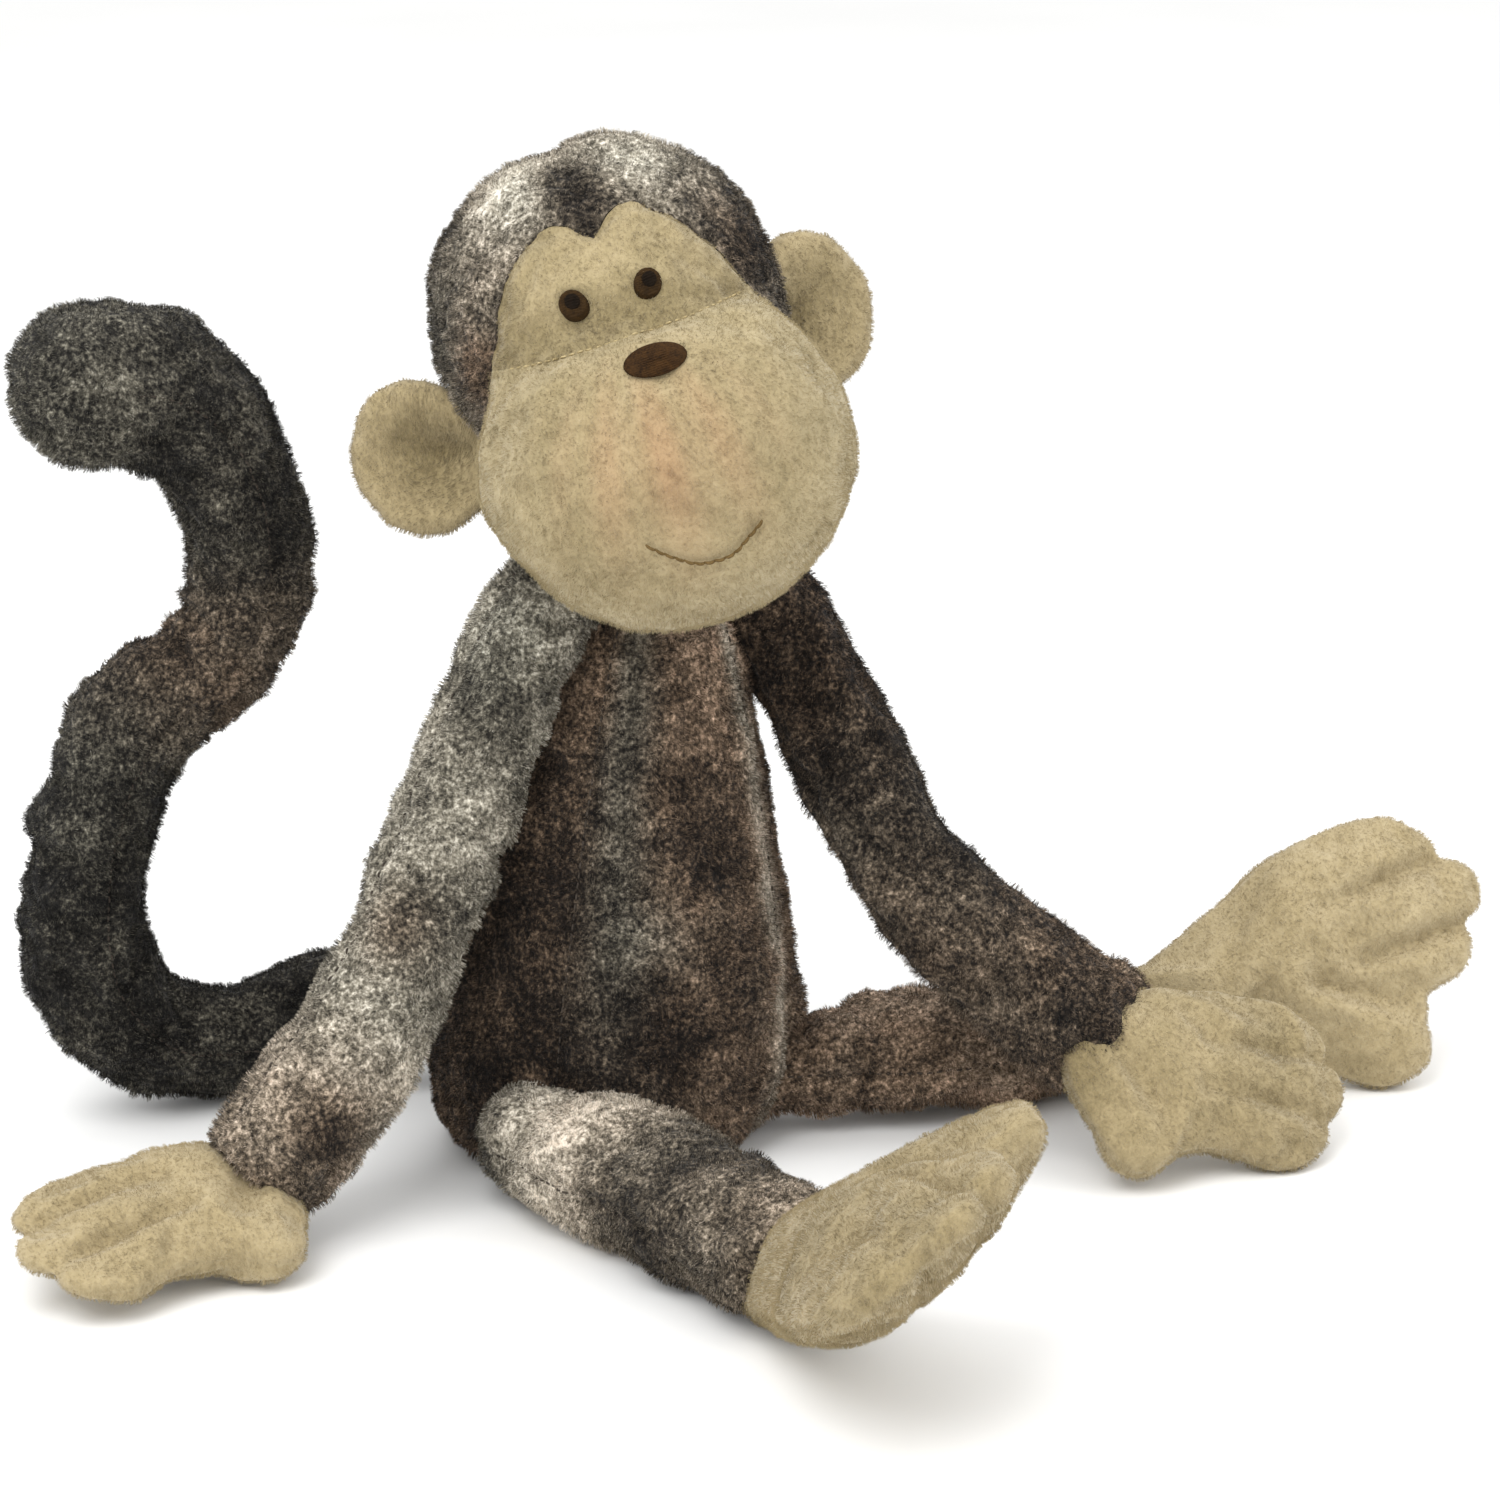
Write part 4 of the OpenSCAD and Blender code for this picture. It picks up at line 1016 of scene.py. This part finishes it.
def sewn_limb(name, rows, upright, halves, slot_name, light, mottle, brown, folds, bend, parent="torso",
              lumps=(0.7, 0.4), end=0.42, place=None):
    """Two panels round a limb, with its seams and folds.

    rows: stations of the middle line, with half width and half height
    halves: name of each panel and the angles it spans; the first one also stands for the filling
    light, brown: (share of the length, value) pairs; mottle: how much the lightness wanders, and its size
    folds: share of the length, angle, depth, width, and how far round it reaches
    bend: where the limb starts and stops to bend; not used
    """
    limb = Limb(rows, upright, end=end)
    length = limb.along[-1]
    angles = sorted(a0 for _, a0, _ in halves)
    seams = []
    for angle in angles:
        line = limb.grid(angle, angle, 1)[0][:, 0]
        seams.append(resampled(line, np.linspace(0, 1, len(line)), np.linspace(0, 1, 3 * len(line))))
    seams = np.vstack(seams)
    puff = Puff(*closed([(limb.grid(0, 350, 36)[0], True, True)]), seams, voxel=3.6, cap=1.8)
    dist = seam_distance(seams)

    def shaped(a0, a1, n):
        P, out, along, a = limb.grid(a0, a1, n)
        P = pulled_in(puff(P), out, dist, 1.2, 2.4)
        calm = 0.3 + 0.7 * np.clip((length - along) / 6, 0, 1)
        P = P + out * ((lumps[0] * wobble(P, 20, 41) + lumps[1] * wobble(P, 8.5, 42)) * calm)[..., None]
        for share, angle, depth, width, spread in folds:
            at, angle = length * share, math.radians(angle)
            round_it = np.arctan2(np.sin(a - angle), np.cos(a - angle))
            d = (along - at + 2.2 * np.sin(a * 2 + at)) / width
            crease = bump(d, 1) - 0.45 * bump(d - 1.9, 1) - 0.45 * bump(d + 1.9, 1)
            P = P - out * (depth * crease * bump(round_it, spread))[..., None]
        if place:
            P = place(P, out, along, a)
        P[..., 2] = np.maximum(P[..., 2], FLOOR_GAP)
        return P, out, along / length

    amount, size, seed = mottle
    made = []
    for half, a0, a1 in halves:
        P, out, s = shaped(a0, a1, 34)
        o = grid_piece("plush_%s_%s" % (name, half), P, out, "fur", slot_name,
                       stops(s, *light) + amount * wobble(P, size, seed), stops(s, *brown))
        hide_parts(name + "_" + half, *([name + "_stuffing"] if half == halves[0][0] else []))
        made.append(o)
    clear = slice(8, -11)     # the stitches stop short of the limb's ends
    for i, angle in enumerate(angles):
        P, out, s = shaped(angle, angle, 1)
        made.append(stitches("stitches_%s_%d" % (name, i), P[clear, 0], out[clear, 0], None))
    for o in made:
        bent(o, parent, name, *bend)


def gathered(P, out, along, a):
    """The tail's outer side is gathered by its wire."""
    folds = 1.15 * np.sin(along * 2 * math.pi / 13.5) + 0.45 * np.sin(along * 2 * math.pi / 7.7 + 1)
    return P + out * (bump(P[..., 2] - 78, 36) * np.clip(np.cos(a), 0, 1) * folds)[..., None]


ARM = dict(upright=(0, 1, 0), halves=(("front", 180, 360), ("back", 0, 180)), slot_name="grey_plush")
LEG = dict(upright=(0, 0, 1), halves=(("top", 0, 180), ("under", 180, 360)), slot_name="grey_plush")
TAIL = dict(upright=(0, 1, 0), halves=(("outer", 90, 270), ("inner", 270, 450)), slot_name="charcoal_plush",
            lumps=(0.9, 0.6))
LIMBS = {
    "arm_left": dict(
        ARM, rows=[[27, -9, 150, 12, 12], [35, -13, 144, 13.5, 13.5], [42, -18, 132, 14, 14],
                   [47.5, -26, 117, 14.5, 14.5], [52.5, -41, 94, 14.5, 14.5], [60, -54, 73, 15, 14.5],
                   [76, -66, 54, 16.5, 15], [91, -73, 39.5, 18, 15.5], [97, -76, 33.5, 17, 14]],
        light=((0, 0.25), (0.25, 0.24), (0.5, 0.29), (0.75, 0.36), (1, 0.30)), mottle=(0.05, 45, 2),
        brown=((0, 1.0), (0.3, 1.0), (0.5, 0.5), (1, 0.9)),
        folds=((0.42, 200, 1.5, 3.2, 1.2), (0.56, 190, 1.1, 3.0, 1.0), (0.93, 250, 1.0, 3.0, 1.6)),
        bend=((34, -12, 145), (50, -33, 108))),
    "arm_right": dict(
        ARM, rows=[[-14, -9, 152, 12, 12], [-22, -9.5, 146, 14, 14], [-30, -10, 134, 14.5, 14.5],
                   [-42, -12, 112, 14.5, 14.5], [-57, -15, 84, 15, 14.5], [-70, -18, 62, 15.5, 14.5],
                   [-84, -21, 43, 17, 15], [-102, -24.3, 26, 18, 15], [-107, -25, 21, 17, 13]],
        light=((0, 0.50), (0.2, 0.58), (0.38, 0.54), (0.5, 0.62), (0.62, 0.54), (0.75, 0.62), (0.9, 0.58),
               (1, 0.40)),
        mottle=(0.08, 30, 4), brown=((0, 0.1), (0.7, 0.1), (1, 0.6)),
        folds=((0.45, 0, 2.2, 3.4, 1.0), (0.58, 10, 1.0, 3.0, 0.9), (0.2, 330, 1.2, 3.4, 1.2),
               (0.93, 300, 1.0, 3.0, 1.6)),
        bend=((-20, -9, 147), (-46, -13, 104))),
    "leg_left": dict(
        LEG, rows=[[38, -19, 18, 12, 13], [51, -22, 17, 14.5, 13.5], [63, -24, 17, 17, 14.5],
                   [80, -27.5, 17, 19.5, 15.5], [98, -31, 17, 19.5, 15.5], [128, -35, 18.5, 18.5, 15.5],
                   [136, -36, 19.5, 17, 14.5]],
        light=((0, 0.48), (0.4, 0.58), (0.8, 0.56), (1, 0.40)), mottle=(0.05, 40, 6),
        brown=((0, 0.9), (1, 0.9)),
        folds=((0.16, 60, 1.6, 3.0, 1.6), (0.30, 100, 1.0, 3.2, 1.3), (0.6, 90, 0.8, 3.6, 1.0)),
        bend=((44, -20, 17), (64, -25, 17))),
    "leg_right": dict(
        LEG, rows=[[-36, -31, 16, 16, 14], [-33, -43, 16.3, 18.3, 14.8], [-29.5, -57, 16.8, 20, 15.8],
                   [-26.5, -73, 17, 20, 16], [-24, -94, 17, 19.5, 15.5], [-22, -121, 18, 18.5, 15.5],
                   [-22, -129, 18, 17, 14]],
        light=((0, 0.5), (0.1, 0.6), (0.25, 0.80), (0.40, 0.74), (0.5, 0.42), (0.66, 0.32), (0.8, 0.40),
               (0.9, 0.58), (1, 0.58)),
        mottle=(0.06, 34, 7), brown=((0, 0.1), (0.5, 0.4), (1, 0.5)),
        folds=((0.18, 90, 1.6, 3.2, 1.6), (0.42, 40, 0.9, 3.4, 1.2)), bend=((-26, -40, 18), (-26, -62, 17))),
    "tail_base": dict(
        TAIL, rows=[[-4, 40, 24, 11, 11], [-12, 50, 23, 12, 12], [-28, 56, 24, 14.5, 14.5],
                    [-50, 64, 22, 15, 15], [-74, 70, 17.8, 15.5, 15.5], [-94, 73, 20.5, 16, 16],
                    [-108, 72, 34, 16.6, 17], [-113.8, 71, 50, 16.5, 17], [-113.3, 70, 69, 16.4, 17],
                    [-109.3, 69, 88, 16.3, 16.8], [-102, 68, 104.5, 16.8, 16.5], [-90, 66, 115.5, 16.3, 16],
                    [-79.5, 65, 122.5, 15, 15], [-75, 64, 126.5, 14, 14]],
        light=((0, 0.17), (0.3, 0.16), (0.5, 0.17), (0.75, 0.24), (0.9, 0.36), (1, 0.42)),
        mottle=(0.06, 40, 9), brown=((0, 0.1), (0.8, 0.0), (0.92, 0.7), (1, 0.7)),
        folds=((0.62, 0, 1.6, 3.4, 1.3), (0.70, 10, 1.4, 3.0, 1.2), (0.78, 0, 1.5, 3.2, 1.3),
               (0.86, 180, 1.4, 3.2, 1.2), (0.93, 0, 1.8, 3.0, 1.3)),
        bend=((-6, 44, 23), (-24, 54, 23)), place=gathered),
    "tail_tip": dict(
        TAIL, rows=[[-82.5, 65, 119, 13.5, 13.5], [-76, 64, 126.5, 15, 15], [-70, 63.5, 137, 15.8, 15.5],
                    [-69, 63, 151, 15.8, 15.8], [-72.5, 61, 168, 16.5, 16.5], [-81.5, 60, 185.5, 17.7, 17.5],
                    [-97, 60, 196.3, 19.3, 19.3], [-110.5, 60, 198, 19.5, 19.5]],
        light=((0, 0.44), (0.2, 0.40), (0.32, 0.30), (0.5, 0.24), (0.62, 0.18), (0.8, 0.33), (1, 0.36)),
        mottle=(0.07, 36, 10), brown=((0, 0.7), (0.25, 0.55), (0.4, 0.1), (1, 0.0)),
        folds=((0.17, 0, 2.2, 2.8, 1.3), (0.27, 0, 1.2, 2.8, 1.0), (0.30, 180, 1.2, 3.0, 1.0),
               (0.45, 190, 0.9, 3.2, 1.0)),
        bend=((-86, 65, 118), (-73, 64, 132)), parent="tail_base", end=1.0),
}
for name, spec in LIMBS.items():
    sewn_limb(name, **spec)

# ------------------------------------------------------------------ neck

NECK_ROWS = [[7, -9, 136, 20, 19], [7, -9, 146, 18, 17.5], [7, -8.5, 154, 17.5, 17], [7, -8, 162, 18.5, 18],
             [7, -8, 170, 20, 19.5]]
P, out, along, a = Limb(NECK_ROWS, (0, 1, 0), start=0).grid(0, 357, 90)
P = P + out * (0.6 * wobble(P, 14, 51))[..., None]
o = grid_piece("plush_neck", P, out, "fur", "grey_plush", 0.26, 0.5, wrap=True)
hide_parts("neck_stuffing")
bent(o, "torso", "neck", (7, -8, 142), (7, -8, 152))

# ------------------------------------------------------------------ inner pieces that stay as they are

WIRE_METAL = ((130, 130, 134), (178, 178, 182), 1.0, 0.35, 1.0)
for node, *finish in (("bean_pouch", "pouch_cloth", (188, 180, 162), (222, 216, 202), 0.6, 0.9),
                      ("bean_fill", "pellets", (150, 156, 166), (205, 209, 216), 2.2, 0.4),
                      ("tail_wire_base", "wire_base", *WIRE_METAL),
                      ("tail_wire_tip", "wire_tip", *WIRE_METAL)):
    data = frame["nodes"][node].data
    data.materials.clear()
    data.materials.append(plain_material(*finish))

# ------------------------------------------------------------------ pile

for i, (o, kind) in enumerate(PILES):
    grow_pile(o, kind, 100 + i)

# ------------------------------------------------------------------ stage

FLOOR_HALF, FLOOR_Z = 6000, -0.4
corners = ((-1, -1), (1, -1), (1, 1), (-1, 1))
floor = mesh_object("floor", [(FLOOR_HALF * x, FLOOR_HALF * y, FLOOR_Z) for x, y in corners], [(0, 1, 2, 3)])
paint = Nodes("floor_paint")
pale = paint.ramp(paint.noise(300), [(0.3, (246, 246, 245)), (0.7, (250, 250, 249))])
floor.data.materials.append(paint.done(pale, 0.9, 0.0, 0.1))


def towards(azimuth, elevation):
    """Azimuth 0 is ahead of the toy, and its left is positive."""
    flat = math.cos(elevation)
    return V(math.sin(azimuth) * flat, -math.cos(azimuth) * flat, math.sin(elevation))


AZIMUTH, ELEVATION, DISTANCE = math.radians(-30), math.radians(17), 1.08333
TARGET = V(0.04597, 0.00682, 0.09448)
back = towards(AZIMUTH, ELEVATION)
cam = bpy.data.objects.new("camera", bpy.data.cameras.new("camera"))
bpy.context.collection.objects.link(cam)
cam.location = Vector(TARGET + back * DISTANCE)
cam.rotation_euler = Vector(-back).to_track_quat("-Z", "Y").to_euler()
cam.data.lens = 100
cam.data.sensor_width = 36
cam.data.clip_start = 0.05
cam.data.clip_end = 50
bpy.context.scene.camera = cam


def light(name, azimuth, elevation, distance, size, power):
    d = towards(math.radians(azimuth), math.radians(elevation))
    o = bpy.data.objects.new(name, bpy.data.lights.new(name, "AREA"))
    bpy.context.collection.objects.link(o)
    o.location = Vector(LIT_POINT + d * distance)
    o.rotation_euler = Vector(-d).to_track_quat("-Z", "Y").to_euler()
    o.data.size = size
    o.data.energy = power


LIT_POINT = V(0, 0, 0.12)
light("key", -58, 50, 1.5, 0.9, 13)
light("fill", 30, 32, 1.6, 1.2, 6)
light("top", 0, 85, 1.6, 1.4, 5)
world = bpy.data.worlds.new("studio")
bpy.context.scene.world = world
world.use_nodes = True
world.node_tree.nodes["Background"].inputs["Color"].default_value = (1, 1, 1, 1)
world.node_tree.nodes["Background"].inputs["Strength"].default_value = 1.0
bpy.context.scene.view_settings.view_transform = "Standard"

bpy.context.view_layer.update()
